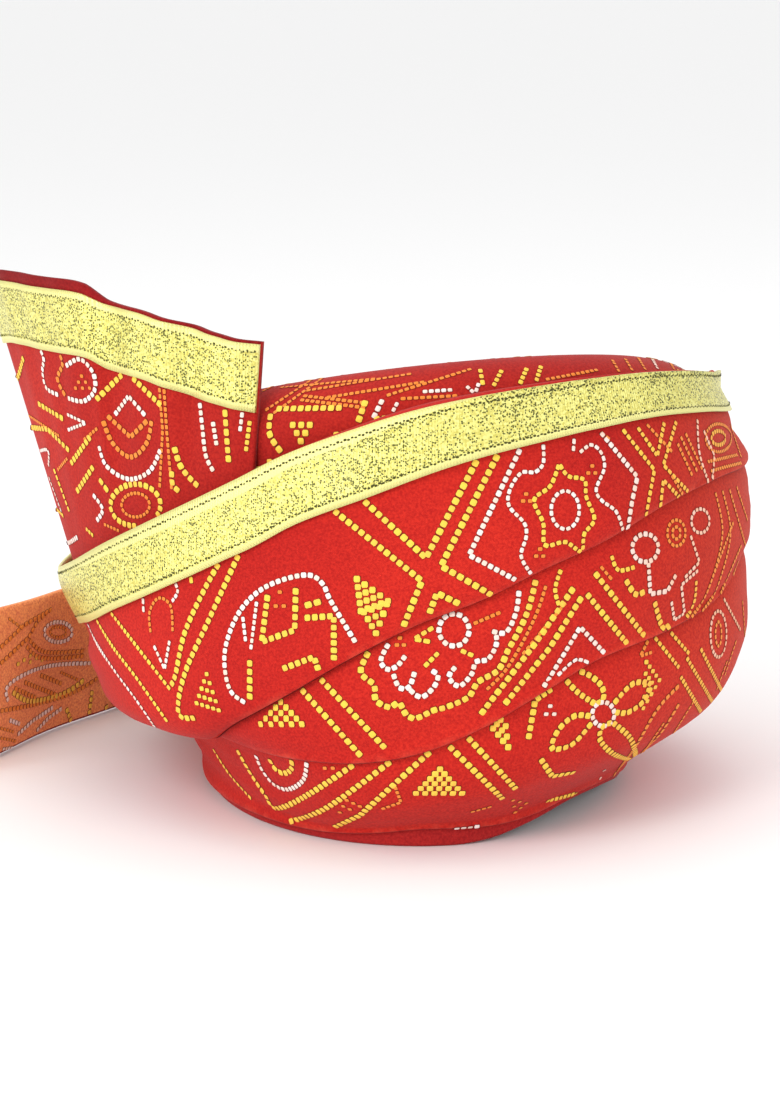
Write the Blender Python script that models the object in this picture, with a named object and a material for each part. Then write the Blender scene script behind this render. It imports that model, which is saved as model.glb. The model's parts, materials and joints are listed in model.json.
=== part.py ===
"""A pre-tied festive turban of printed cotton that rests on its rim.

Wound wraps climb from the lower left to the upper right round a hollow cloth crown. The top wrap is
edged with woven gold lace. A pleated fan with its own lace stands tucked behind that edge at the left
front, and the free tail comes out under the top wrap at the back and lies round to the left.

The front faces -Y. Sizes are in metres. Pieces are modelled round the middle of the head opening,
where azimuth 0 is the wearer's left at +X, 90 the back and -90 the front, and are then moved
together so that the origin lies under the middle of the whole turban.
"""

import math

import bmesh
import bpy
from mathutils import Vector

# Head opening and the padded band round it
HEAD_HALF_WIDTH = 0.078
HEAD_HALF_LENGTH = 0.100
RIM_WALL = 0.005
RIM_BAND_HEIGHT = 0.014
RIM_ROUNDING = 0.0012

# Crown under the wraps
BODY_HALF_WIDTH = 0.1155
BODY_HALF_LENGTH = 0.113
FRONT_HEIGHT = 0.179
BACK_HEIGHT = 0.129
SIDE_RISE = 0.0105
SHOULDER_RADIUS = 0.020
CROWN_WALL = 0.003
CROWN_DOME = 0.0015

# Wound wraps
WRAP_STACK = 0.016
WRAP_OVERLAP = 0.012
THINNEST_LAYER = 0.0015
LAYER_FADE = 0.010
POCKET_WALL = 0.0026

# Woven lace on the top wrap and on the fan
LACE_WIDTH = 0.0245
LACE_THICKNESS = 0.001

# Fan
FAN_HEIGHT = 0.206
FAN_LEAN = 0.036
FAN_WALL = 0.002
FAN_TUCK = 0.014
FAN_PLEAT_DEPTH = 0.004
FAN_SELVEDGE = 0.004
FAN_LEFT_AZIMUTH = -179.0
FAN_RIGHT_AZIMUTH = -120.3

# Tail
TAIL_WIDTH = 0.062
TAIL_THICKNESS = 0.005
TAIL_REACH = 0.066

# Clearance between pieces that touch
GAP = 0.0004
FLARE_ROOM = 0.0007
LEVELLING = 0.002
LACE_ROOM = 0.0011
FAN_ROOM = 0.0018
TAIL_ROOM = 0.0012
TAIL_LEVELLING = 0.006

AZIMUTH_STEPS = 44
FAN_COLUMNS = 22
CROWN_STEP = 0.007
CROWN_FLARE_ROWS = 7
MIDDLE_HEIGHT = (FRONT_HEIGHT + BACK_HEIGHT) / 2
FRONT_LEAN = (FRONT_HEIGHT - BACK_HEIGHT) / 2

# How far the crown has widened from rim (0) to belly (1), against height as a share of FRONT_HEIGHT
FLARE = ((0.0, 0.0), (0.045, 0.016), (0.10, 0.226), (0.185, 0.677), (0.315, 0.952), (0.42, 1.0), (1.2, 1.0))

# Round the head. Edge heights and tuck are shares of FRONT_HEIGHT, lace_show of LACE_WIDTH, fullness
# of WRAP_STACK, pockets and mouth go from 0 (none) to 1. The rim arches up by rim_lift, a share of
# FRONT_HEIGHT, and the tuck delays the flare of the crown, where it is drawn in low.
COLUMNS = (
    "azimuth", "lace_top", "lace_show", "upper_low", "middle_low", "rim_lift", "lower_low",
    "lower_full", "middle_full", "upper_full", "tuck", "fan_pocket", "mouth", "tail_pocket",
)  # fmt: skip
ROUND_HEAD = (
    (-180, 0.477, 0.90, 0.180, 0.186, 0.000, 0.017, 0.42, 0.50, 1.50, 0.060, 1.00, 0.80, 0.00),
    (-165, 0.522, 0.93, 0.175, 0.186, 0.000, 0.017, 0.36, 0.50, 1.55, 0.062, 1.00, 0.60, 0.00),
    (-150, 0.605, 0.98, 0.186, 0.191, 0.000, 0.017, 0.32, 0.50, 1.45, 0.068, 1.00, 0.35, 0.00),
    (-135, 0.695, 1.00, 0.202, 0.201, 0.000, 0.017, 0.40, 0.55, 1.20, 0.066, 1.00, 0.15, 0.00),
    (-122, 0.776, 1.00, 0.275, 0.197, 0.000, 0.017, 0.58, 0.75, 1.05, 0.058, 1.00, 0.00, 0.00),
    (-112, 0.840, 1.00, 0.343, 0.202, 0.000, 0.020, 0.80, 0.90, 1.00, 0.040, 0.90, 0.00, 0.00),
    (-100, 0.898, 1.00, 0.437, 0.211, 0.000, 0.030, 0.95, 1.00, 1.00, 0.018, 0.00, 0.00, 0.00),
    (-90, 0.937, 0.96, 0.503, 0.236, 0.000, 0.040, 1.00, 1.00, 1.00, 0.008, 0.00, 0.00, 0.00),
    (-80, 0.960, 0.88, 0.550, 0.287, 0.000, 0.040, 1.00, 1.00, 1.00, 0.005, 0.00, -0.08, 0.00),
    (-70, 0.973, 0.82, 0.605, 0.354, 0.008, 0.030, 1.00, 1.00, 1.00, 0.014, 0.00, -0.20, 0.00),
    (-60, 0.979, 0.77, 0.647, 0.409, 0.026, 0.020, 0.95, 1.00, 0.98, 0.022, 0.00, -0.30, 0.00),
    (-45, 0.977, 0.72, 0.709, 0.443, 0.050, 0.017, 0.98, 1.00, 0.92, 0.026, 0.00, -0.38, 0.00),
    (-30, 0.960, 0.69, 0.733, 0.477, 0.046, 0.017, 1.02, 1.00, 0.82, 0.020, 0.00, -0.38, 0.00),
    (-15, 0.934, 0.67, 0.727, 0.532, 0.025, 0.017, 1.05, 1.00, 0.70, 0.012, 0.00, -0.36, 0.00),
    (0, 0.912, 0.67, 0.717, 0.543, 0.008, 0.017, 1.06, 1.00, 0.62, 0.007, 0.00, -0.34, 0.00),
    (30, 0.830, 0.75, 0.650, 0.488, 0.000, 0.017, 1.00, 1.00, 0.75, 0.010, 0.00, -0.20, 0.00),
    (60, 0.745, 0.90, 0.543, 0.400, 0.000, 0.017, 1.00, 1.00, 0.95, 0.010, 0.00, -0.10, 0.30),
    (75, 0.705, 1.00, 0.486, 0.352, 0.000, 0.017, 1.00, 1.00, 1.00, 0.005, 0.00, 0.00, 1.00),
    (90, 0.670, 1.00, 0.432, 0.308, 0.000, 0.017, 1.00, 1.00, 1.00, 0.000, 0.00, 0.00, 1.00),
    (105, 0.637, 1.00, 0.387, 0.272, 0.000, 0.017, 1.00, 0.95, 1.00, 0.005, 0.00, 0.00, 1.00),
    (120, 0.605, 1.00, 0.332, 0.242, 0.000, 0.017, 0.90, 0.90, 1.05, 0.015, 0.00, 0.00, 0.70),
    (150, 0.530, 1.00, 0.242, 0.197, 0.000, 0.017, 0.70, 0.60, 1.25, 0.045, 0.20, 0.30, 0.00),
)  # fmt: skip

# Stand-off of a wrap's outer face from the crown as a share of WRAP_STACK, against the share of the
# wrap's height from its lower edge
LOWER_BULGE = (
    (0.0, 0.04), (0.04, 0.16), (0.10, 0.36), (0.17, 0.60), (0.30, 0.90), (0.50, 1.00),
    (0.70, 0.96), (0.85, 0.84), (1.0, 0.30),
)  # fmt: skip
MIDDLE_BULGE = ((0.0, 0.90), (0.12, 1.03), (0.35, 1.06), (0.60, 0.92), (0.78, 0.76), (1.0, 0.35))
UPPER_BULGE = ((0.0, 0.96), (0.12, 1.02), (0.35, 0.86), (0.70, 0.64), (1.0, 0.50))

# A wrap's section: share of its height, and how full the layer is there, so that folds are round
OUTER_ROWS = (
    (0.0, 0.35), (0.02, 0.80), (0.07, 1.0), (0.18, 1.0), (0.35, 1.0), (0.55, 1.0), (0.75, 1.0),
    (0.93, 1.0), (1.0, 0.6),
)  # fmt: skip
INNER_ROWS = (1.0, 0.93, 0.86, 0.78, 0.66, 0.52, 0.41, 0.31, 0.21, 0.10, 0.0)

# Fan: share across from the left, height of the lace's upper edge as a share of FAN_HEIGHT, how far a
# pleat stands forward as a share of FAN_PLEAT_DEPTH, and how much of FAN_SELVEDGE shows above the lace
FAN_FOLDS = (
    (0.00, 0.966, 0.0, 1.0), (0.12, 0.979, 0.2, 1.0), (0.30, 0.981, 0.3, 1.0), (0.46, 0.980, 0.5, 0.9),
    (0.50, 0.963, -0.6, 0.3), (0.62, 0.955, 0.2, 0.2), (0.72, 0.943, 0.7, 0.2), (0.78, 0.931, -0.5, 0.2),
    (0.86, 0.921, 0.1, 0.2), (0.94, 0.914, 0.6, 0.2), (1.00, 0.908, -0.5, 0.2),
)  # fmt: skip
FAN_ROWS = 6

# Tail, from its tucked root to its free end: azimuth, height as a share of TAIL_WIDTH and stand-off
# as a share of TAIL_REACH for the lower and then the upper long edge
TAIL_ROUTE = (
    (76, 1.54, 0.0, 103, 1.33, 0.0),
    (80, 1.32, 0.0, 106, 1.22, 0.0),
    (88, 0.84, 0.0, 110, 1.06, 0.03),
    (98, 0.38, 0.02, 115, 0.955, 0.28),
    (110, 0.09, 0.26, 121, 0.99, 0.38),
    (124, 0.03, 0.40, 130, 0.98, 0.46),
    (138, 0.02, 0.50, 141, 0.98, 0.54),
    (154, 0.02, 0.60, 155, 0.99, 0.60),
    (169, 0.02, 0.74, 169, 1.00, 0.74),
    (182, 0.02, 1.0, 181, 1.00, 1.0),
)
TAIL_SECTION = (
    (0.0, 0.35), (0.05, 0.9), (0.25, 1.0), (0.50, 1.0), (0.75, 1.0), (0.95, 0.9), (1.0, 0.35),
)  # fmt: skip
TAIL_STATIONS = 26


def eased(rows, at):
    """Reads a smooth curve through rows of (place, value), which is straight beyond its ends."""
    index = 0
    while index < len(rows) - 2 and at > rows[index + 1][0]:
        index += 1
    (x0, y0), (x1, y1) = rows[index], rows[index + 1]
    width = x1 - x0
    slope = (y1 - y0) / width
    before = rows[index - 1] if index else None
    after = rows[index + 2] if index + 2 < len(rows) else None
    slope0 = (y1 - before[1]) / (x1 - before[0]) if before else slope
    slope1 = (after[1] - y0) / (after[0] - x0) if after else slope
    t = min(1.0, max(0.0, (at - x0) / width))
    square, cube = t * t, t * t * t
    return (
        (2 * cube - 3 * square + 1) * y0
        + (cube - 2 * square + t) * width * slope0
        + (3 * square - 2 * cube) * y1
        + (cube - square) * width * slope1
    )


def closed_column(name):
    """One column of ROUND_HEAD as (azimuth, value) rows that run past both ends of a full turn."""
    at = COLUMNS.index(name)
    rows = [(row[0], row[at]) for row in ROUND_HEAD]
    return [(x - 360, y) for x, y in rows[-2:]] + rows + [(x + 360, y) for x, y in rows[:3]]


AROUND = {name: closed_column(name) for name in COLUMNS[1:]}


def around(name, azimuth):
    turned = (azimuth + 180.0) % 360.0 - 180.0
    return eased(AROUND[name], turned)


def smooth_step(share):
    t = min(1.0, max(0.0, share))
    return t * t * (3 - 2 * t)


def crown_height(azimuth):
    """Height of the crown's shoulder, which leans down to the back and a little to one side."""
    angle = math.radians(azimuth)
    return MIDDLE_HEIGHT - FRONT_LEAN * math.sin(angle) + SIDE_RISE * math.cos(angle)


def crown_halves(azimuth, height):
    """Half width and half length of the crown's outer face at this height."""
    level = height / FRONT_HEIGHT - around("tuck", azimuth)
    share = eased(FLARE, max(0.0, level))
    rim_width = HEAD_HALF_WIDTH + RIM_WALL
    rim_length = HEAD_HALF_LENGTH + RIM_WALL
    return (
        rim_width + (BODY_HALF_WIDTH - rim_width) * share,
        rim_length + (BODY_HALF_LENGTH - rim_length) * share,
    )


def place(azimuth, height, standoff):
    """A point this far outside the crown's outer face."""
    half_width, half_length = crown_halves(azimuth, height)
    angle = math.radians(azimuth)
    return Vector(
        (
            (half_width + standoff) * math.cos(angle),
            (half_length + standoff) * math.sin(angle),
            height,
        )
    )


def lower_span(azimuth):
    low = (around("lower_low", azimuth) + around("rim_lift", azimuth)) * FRONT_HEIGHT
    return low, around("middle_low", azimuth) * FRONT_HEIGHT + WRAP_OVERLAP


def middle_span(azimuth):
    low = around("middle_low", azimuth) * FRONT_HEIGHT
    return low, around("upper_low", azimuth) * FRONT_HEIGHT + WRAP_OVERLAP


def upper_span(azimuth):
    return (
        around("upper_low", azimuth) * FRONT_HEIGHT,
        around("lace_top", azimuth) * FRONT_HEIGHT,
    )


WRAPS = (
    ("lower_wrap", lower_span, LOWER_BULGE, "lower_full"),
    ("middle_wrap", middle_span, MIDDLE_BULGE, "middle_full"),
    ("upper_wrap", upper_span, UPPER_BULGE, "upper_full"),
)
UPPER = 2


def tail_room(azimuth, share):
    """Room that the tail's root takes under the lower part of the top wrap."""
    room = TAIL_THICKNESS + 4 * TAIL_ROOM
    return around("tail_pocket", azimuth) * room * smooth_step((0.75 - share) / 0.25)


def wrap_inner(index, azimuth, height):
    """Stand-off of a wrap's inner face, which follows what lies under it."""
    level = height / FRONT_HEIGHT - around("tuck", azimuth)
    room = FLARE_ROOM * smooth_step((FLARE[-2][0] - level) / 0.1 + 0.9)
    nearby = (height - LEVELLING, height, height + LEVELLING)
    beneath = max(wrap_outer(index - 1, azimuth, near) for near in nearby) + GAP + room
    if index < UPPER:
        return beneath
    low, high = upper_span(azimuth)
    share = (height - low) / (high - low)
    beneath += max(0.0, tail_room(azimuth, share))
    rim = own_bulge(index, azimuth, share) - POCKET_WALL
    opened = min(1.0, max(0.0, around("fan_pocket", azimuth))) * smooth_step((share - 0.5) / 0.5)
    return max(beneath, beneath + (rim - beneath) * opened)


def own_bulge(index, azimuth, share):
    bulge, fullness = WRAPS[index][2:]
    standoff = eased(bulge, share) * around(fullness, azimuth)
    if index == UPPER:
        standoff += around("mouth", azimuth) * smooth_step((share - 0.45) / 0.55)
    return standoff * WRAP_STACK


def wrap_outer(index, azimuth, height):
    """Stand-off of the outer face of this wrap, or of what lies under it where it doesn't reach."""
    if index < 0:
        return 0.0
    beneath = wrap_outer(index - 1, azimuth, height)
    low, high = WRAPS[index][1](azimuth)
    if height < low:
        return beneath
    share = min(1.0, (height - low) / (high - low))
    within = min(height, high)
    own = max(own_bulge(index, azimuth, share), wrap_inner(index, azimuth, within) + THINNEST_LAYER)
    own *= 1.0 - min(1.0, max(0.0, height - high) / LAYER_FADE)
    return max(beneath, own)


def azimuths(count=AZIMUTH_STEPS):
    return [-180.0 + 360.0 * step / count for step in range(count)]


def material(name, colour, roughness, metallic=0.0):
    made = bpy.data.materials.new(name)
    made.use_nodes = True
    shader = made.node_tree.nodes["Principled BSDF"]
    shader.inputs["Base Color"].default_value = (*colour, 1.0)
    shader.inputs["Roughness"].default_value = roughness
    shader.inputs["Metallic"].default_value = metallic
    return made


def skin(rows, ring_open, caps):
    """Faces between rows of points. Rows close on themselves or not, and caps closes the ends."""
    shell = bmesh.new()
    grid = [[shell.verts.new(point) for point in row] for row in rows]
    length = len(grid[0])
    last = length - 1 if ring_open else length
    pairs = list(zip(grid, grid[1:], strict=False))
    if caps is None:
        pairs.append((grid[-1], grid[0]))
    for row, following in pairs:
        for at in range(last):
            beside = (at + 1) % length
            shell.faces.new((row[at], row[beside], following[beside], following[at]))
    if caps == "flat":
        shell.faces.new(grid[0])
        shell.faces.new(reversed(grid[-1]))
    if caps == "poles":
        for row in (grid[0], grid[-1]):
            middle = sum((vert.co for vert in row), Vector()) / length
            pole = shell.verts.new(middle)
            for at in range(length):
                shell.faces.new((row[at], row[(at + 1) % length], pole))
    return shell


def piece(name, shell, finish, holder):
    """Turns the shell into a closed, outward-facing, smooth-shaded object held by the empty."""
    bmesh.ops.triangulate(shell, faces=shell.faces[:])
    bmesh.ops.recalc_face_normals(shell, faces=shell.faces[:])
    if shell.calc_volume(signed=True) < 0:
        bmesh.ops.reverse_faces(shell, faces=shell.faces[:])
    mesh = bpy.data.meshes.new(name)
    shell.to_mesh(mesh)
    shell.free()
    mesh.shade_smooth()
    mesh.set_sharp_from_angle(angle=math.radians(40))
    mesh.materials.append(finish)
    made = bpy.data.objects.new(name, mesh)
    made.parent = holder
    bpy.context.scene.collection.objects.link(made)
    return made


def crown_side(azimuth, inset):
    """Points of the crown's outer face, or of its inner one when inset, from rim to near the top."""
    height = crown_height(azimuth)
    radius = SHOULDER_RADIUS
    low = RIM_BAND_HEIGHT + GAP
    high = height - radius
    levels = [low + CROWN_STEP * step for step in range(CROWN_FLARE_ROWS)]
    flared = levels[-1]
    levels += [flared + (high - flared) * step / 3 for step in range(1, 4)]
    points = [place(azimuth, level, -inset) for level in levels]
    for step in range(1, 4):
        angle = math.radians(90 * step / 3)
        back = inset + (radius - inset) * (1 - math.cos(angle))
        points.append(place(azimuth, high + (radius - inset) * math.sin(angle), -back))
    half_width, half_length = crown_halves(azimuth, height)
    turn = math.radians(azimuth)
    for share in (0.72, 0.42, 0.14):
        level = MIDDLE_HEIGHT + (height - MIDDLE_HEIGHT) * share + CROWN_DOME * (1 - share**2) - inset
        across = (half_width - radius) * share * math.cos(turn)
        along = (half_length - radius) * share * math.sin(turn)
        points.append(Vector((across, along, level)))
    return points


def crown(finish, holder):
    """Hollow cloth crown, open below and closed on top."""
    outer = [crown_side(azimuth, 0.0) for azimuth in azimuths()]
    inner = [crown_side(azimuth, CROWN_WALL) for azimuth in azimuths()]
    rows = [list(row) for row in zip(*outer, strict=True)][::-1]
    rows += [list(row) for row in zip(*inner, strict=True)]
    return piece("crown", skin(rows, ring_open=False, caps="poles"), finish, holder)


def rim_band(finish, holder):
    """Padded band round the head opening, flat below, on which the turban rests."""
    top, round_off = RIM_BAND_HEIGHT, RIM_ROUNDING
    sections = []
    for azimuth in azimuths():
        half_width, half_length = crown_halves(azimuth, 0.0)
        turn = math.radians(azimuth)
        low = max(0.0, around("rim_lift", azimuth)) * FRONT_HEIGHT

        def inside(height, shift, half_width=half_width, half_length=half_length, turn=turn):
            across = (half_width - RIM_WALL + shift) * math.cos(turn)
            along = (half_length - RIM_WALL + shift) * math.sin(turn)
            return Vector((across, along, height))

        sections.append(
            [
                inside(low, round_off),
                inside(low + round_off, 0.0),
                inside(top - round_off, 0.0),
                inside(top, round_off),
                place(azimuth, top, -round_off),
                place(azimuth, top - round_off, 0.0),
                place(azimuth, (top + low) / 2, 0.0),
                place(azimuth, low + round_off, 0.0),
                inside(low, RIM_WALL - round_off),
            ]
        )
    return piece("rim_band", skin(sections, ring_open=False, caps=None), finish, holder)


def wrap(index, finish, holder):
    """One wound turn of cloth: round at its folded lower edge, thin where the next one covers it."""
    name, span = WRAPS[index][:2]
    sections = []
    for azimuth in azimuths():
        low, high = span(azimuth)
        section = []
        for share, fullness in OUTER_ROWS:
            height = low + (high - low) * share
            inner = wrap_inner(index, azimuth, height)
            outer = wrap_outer(index, azimuth, height)
            section.append(place(azimuth, height, inner + (outer - inner) * fullness))
        for share in INNER_ROWS:
            height = low + (high - low) * share
            section.append(place(azimuth, height, wrap_inner(index, azimuth, height)))
        sections.append(section)
    return piece(name, skin(sections, ring_open=False, caps=None), finish, holder)


def lace_drop(azimuth):
    """Height that the lace covers, so that it keeps its width where its edge climbs or leans in."""
    step = 2.0
    before, after = (place(azimuth + turn, upper_span(azimuth + turn)[1], 0.0) for turn in (-step, step))
    rise = abs(after.z - before.z)
    run = math.hypot(after.x - before.x, after.y - before.y)
    high = upper_span(azimuth)[1]
    lean = wrap_outer(UPPER, azimuth, high - LACE_WIDTH) - wrap_outer(UPPER, azimuth, high)
    width = LACE_WIDTH * around("lace_show", azimuth)
    return width * math.hypot(rise, run) / run * width / math.hypot(lean, width)


def wrap_lace(finish, holder):
    """Woven lace laid on the top wrap's upper edge, all the way round."""
    sections = []
    for azimuth in azimuths():
        high = upper_span(azimuth)[1]
        low = high - lace_drop(azimuth)
        levels = [low + (high - low) * step / 3 for step in range(4)]
        inner = [(level, wrap_outer(UPPER, azimuth, level) + LACE_ROOM) for level in levels]
        section = [place(azimuth, level, standoff + LACE_THICKNESS) for level, standoff in inner]
        section += [place(azimuth, level, standoff) for level, standoff in reversed(inner)]
        sections.append(section)
    return piece("wrap_lace", skin(sections, ring_open=False, caps=None), finish, holder)


def fan_azimuth(across):
    return FAN_LEFT_AZIMUTH + (FAN_RIGHT_AZIMUTH - FAN_LEFT_AZIMUTH) * across


def fan_top(across):
    """Upper edge of the fan's lace."""
    return FAN_HEIGHT * eased([(row[0], row[1]) for row in FAN_FOLDS], across)


def fan_selvedge(across):
    """How far the cloth shows above the lace."""
    return FAN_SELVEDGE * eased([(row[0], row[3]) for row in FAN_FOLDS], across)


def fan_standoff(across, height):
    """Stand-off of the fan's middle, which leans on the top wrap's open edge and fans out above it."""
    azimuth = fan_azimuth(across)
    edge = upper_span(azimuth)[1]
    seat = wrap_inner(UPPER, azimuth, min(height, edge)) - FAN_ROOM - FAN_WALL / 2
    rise = max(0.0, height - edge) / (fan_top(across) - edge)
    pleat = eased([(row[0], row[2]) for row in FAN_FOLDS], across) * FAN_PLEAT_DEPTH
    return seat + (FAN_LEAN * (1 - across) ** 1.5 + pleat - FAN_PLEAT_DEPTH) * rise


def fan_sheet(levels, face, back):
    """Closed sheet over part of the fan, between two stand-offs from the fan's middle."""
    fronts, backs = [], []
    for step in range(FAN_COLUMNS + 1):
        across = step / FAN_COLUMNS
        heights = levels(across)
        azimuth = fan_azimuth(across)
        fronts.append([place(azimuth, z, fan_standoff(across, z) + face) for z in heights])
        backs.append([place(azimuth, z, fan_standoff(across, z) + back) for z in heights])
    loops = [front + behind[::-1] for front, behind in zip(fronts, backs, strict=True)]
    return skin(loops, ring_open=False, caps="flat")


def fan(finish, holder):
    """Pleated cloth fan, its foot tucked between the crown and the top wrap."""

    def levels(across):
        edge = upper_span(fan_azimuth(across))[1]
        top = fan_top(across) + fan_selvedge(across)
        tucked = [edge - FAN_TUCK * share for share in (1.0, 0.66, 0.33)]
        return tucked + [edge + (top - edge) * step / FAN_ROWS for step in range(FAN_ROWS + 1)]

    return piece("fan", fan_sheet(levels, FAN_WALL / 2, -FAN_WALL / 2), finish, holder)


def fan_lace(finish, holder):
    """Woven lace along the fan's upper edge."""

    def levels(across):
        return [fan_top(across) - LACE_WIDTH * (1 - step / 3) for step in range(4)]

    near = FAN_WALL / 2 + GAP
    return piece("fan_lace", fan_sheet(levels, near + LACE_THICKNESS, near), finish, holder)


def tail(finish, holder):
    """Folded free end of the cloth, rooted under the top wrap and standing on its long edge."""
    columns = [list(enumerate(column)) for column in zip(*TAIL_ROUTE, strict=True)]
    sections = []
    for station in range(TAIL_STATIONS):
        at = (len(TAIL_ROUTE) - 1) * station / (TAIL_STATIONS - 1)
        low_azimuth, low_height, low_out, up_azimuth, up_height, up_out = (
            eased(column, at) for column in columns
        )
        outer, inner = [], []
        for share, fullness in TAIL_SECTION:
            azimuth = low_azimuth + (up_azimuth - low_azimuth) * share
            height = (low_height + (up_height - low_height) * share) * TAIL_WIDTH
            out = (low_out + (up_out - low_out) * share) * TAIL_REACH
            free = out + BODY_HALF_WIDTH - crown_halves(azimuth, height)[0]
            nearby = (height - TAIL_LEVELLING, height, height + TAIL_LEVELLING)
            against = max(wrap_outer(UPPER - 1, azimuth, level) for level in nearby) + TAIL_ROOM
            middle = max(against, free) + TAIL_THICKNESS / 2
            outer.append(place(azimuth, height, middle + fullness * TAIL_THICKNESS / 2))
            inner.append(place(azimuth, height, middle - fullness * TAIL_THICKNESS / 2))
        sections.append(outer + inner[::-1])
    return piece("tail", skin(sections, ring_open=False, caps="flat"), finish, holder)


def stand_on_origin(holder, pieces):
    """Moves the whole turban so that the middle of its box's underside is at the origin."""
    points = [vert.co for made in pieces for vert in made.data.vertices]
    low = Vector([min(point[axis] for point in points) for axis in range(3)])
    high = Vector([max(point[axis] for point in points) for axis in range(3)])
    holder.location = (-(low.x + high.x) / 2, -(low.y + high.y) / 2, -low.z)


def build():
    for old in list(bpy.data.objects):
        bpy.data.objects.remove(old)
    holder = bpy.data.objects.new("turban", None)
    bpy.context.scene.collection.objects.link(holder)
    red = material("printed_cotton", (0.62, 0.03, 0.04), 0.85)
    inside = material("plain_cotton", (0.50, 0.03, 0.04), 0.9)
    gold = material("gold_lace", (0.80, 0.72, 0.25), 0.35, 0.8)
    pieces = [
        rim_band(inside, holder),
        crown(red, holder),
        *(wrap(index, red, holder) for index in range(len(WRAPS))),
        wrap_lace(gold, holder),
        fan(red, holder),
        fan_lace(gold, holder),
        tail(red, holder),
    ]
    stand_on_origin(holder, pieces)


build()
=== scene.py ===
"""Looks of a pre-tied festive turban of tie-dyed red cotton with gold lace, a side fan and a free tail.

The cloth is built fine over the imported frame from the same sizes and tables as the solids. The printed
dots are laid on that cloth, row by row, where the photograph shows them, and the rows are carried on
round the back. Sizes are in metres. Azimuth 0 is the wearer's left at +X and -90 the front.
"""

import json
import math

import bmesh
import bpy
import numpy as np
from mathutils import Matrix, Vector
from mathutils.bvhtree import BVHTree


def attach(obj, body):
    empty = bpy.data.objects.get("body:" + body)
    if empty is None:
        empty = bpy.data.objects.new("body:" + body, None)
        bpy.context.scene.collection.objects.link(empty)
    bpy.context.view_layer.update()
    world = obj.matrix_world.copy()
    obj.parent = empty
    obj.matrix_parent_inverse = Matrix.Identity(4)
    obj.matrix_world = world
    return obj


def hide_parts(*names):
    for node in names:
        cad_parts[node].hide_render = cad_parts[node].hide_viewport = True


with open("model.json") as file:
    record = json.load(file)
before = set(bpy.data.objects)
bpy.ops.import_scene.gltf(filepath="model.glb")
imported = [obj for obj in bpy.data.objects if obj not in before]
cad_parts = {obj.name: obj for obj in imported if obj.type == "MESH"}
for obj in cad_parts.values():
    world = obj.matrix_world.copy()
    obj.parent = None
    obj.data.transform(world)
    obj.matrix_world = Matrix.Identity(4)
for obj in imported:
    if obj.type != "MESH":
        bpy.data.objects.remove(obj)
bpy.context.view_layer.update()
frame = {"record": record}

# Head opening, crown and heights, as in the solids
HEAD_HALF_WIDTH = 0.078
HEAD_HALF_LENGTH = 0.100
RIM_WALL = 0.005
RIM_BAND_HEIGHT = 0.014
RIM_ROUNDING = 0.0012
BODY_HALF_WIDTH = 0.1155
BODY_HALF_LENGTH = 0.113
FRONT_HEIGHT = 0.179
BACK_HEIGHT = 0.129
SIDE_RISE = 0.0105
SHOULDER_RADIUS = 0.020
CROWN_WALL = 0.003
CROWN_DOME = 0.0015

# Wraps, lace, fan and tail, as in the solids
WRAP_STACK = 0.016
WRAP_OVERLAP = 0.012
THINNEST_LAYER = 0.0015
LAYER_FADE = 0.010
POCKET_WALL = 0.0026
LACE_WIDTH = 0.0245
LACE_THICKNESS = 0.001
FAN_HEIGHT = 0.206
FAN_LEAN = 0.036
FAN_WALL = 0.002
FAN_TUCK = 0.014
FAN_PLEAT_DEPTH = 0.004
FAN_SELVEDGE = 0.004
FAN_LEFT_AZIMUTH = -179.0
FAN_RIGHT_AZIMUTH = -120.3
TAIL_WIDTH = 0.062
TAIL_THICKNESS = 0.005
TAIL_REACH = 0.066
GAP = 0.0004
FLARE_ROOM = 0.0007
LEVELLING = 0.002
LACE_ROOM = 0.0011
FAN_ROOM = 0.0018
TAIL_ROOM = 0.0012
TAIL_LEVELLING = 0.006
MIDDLE_HEIGHT = (FRONT_HEIGHT + BACK_HEIGHT) / 2
FRONT_LEAN = (FRONT_HEIGHT - BACK_HEIGHT) / 2

FLARE = ((0.0, 0.0), (0.045, 0.016), (0.10, 0.226), (0.185, 0.677), (0.315, 0.952), (0.42, 1.0), (1.2, 1.0))

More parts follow.
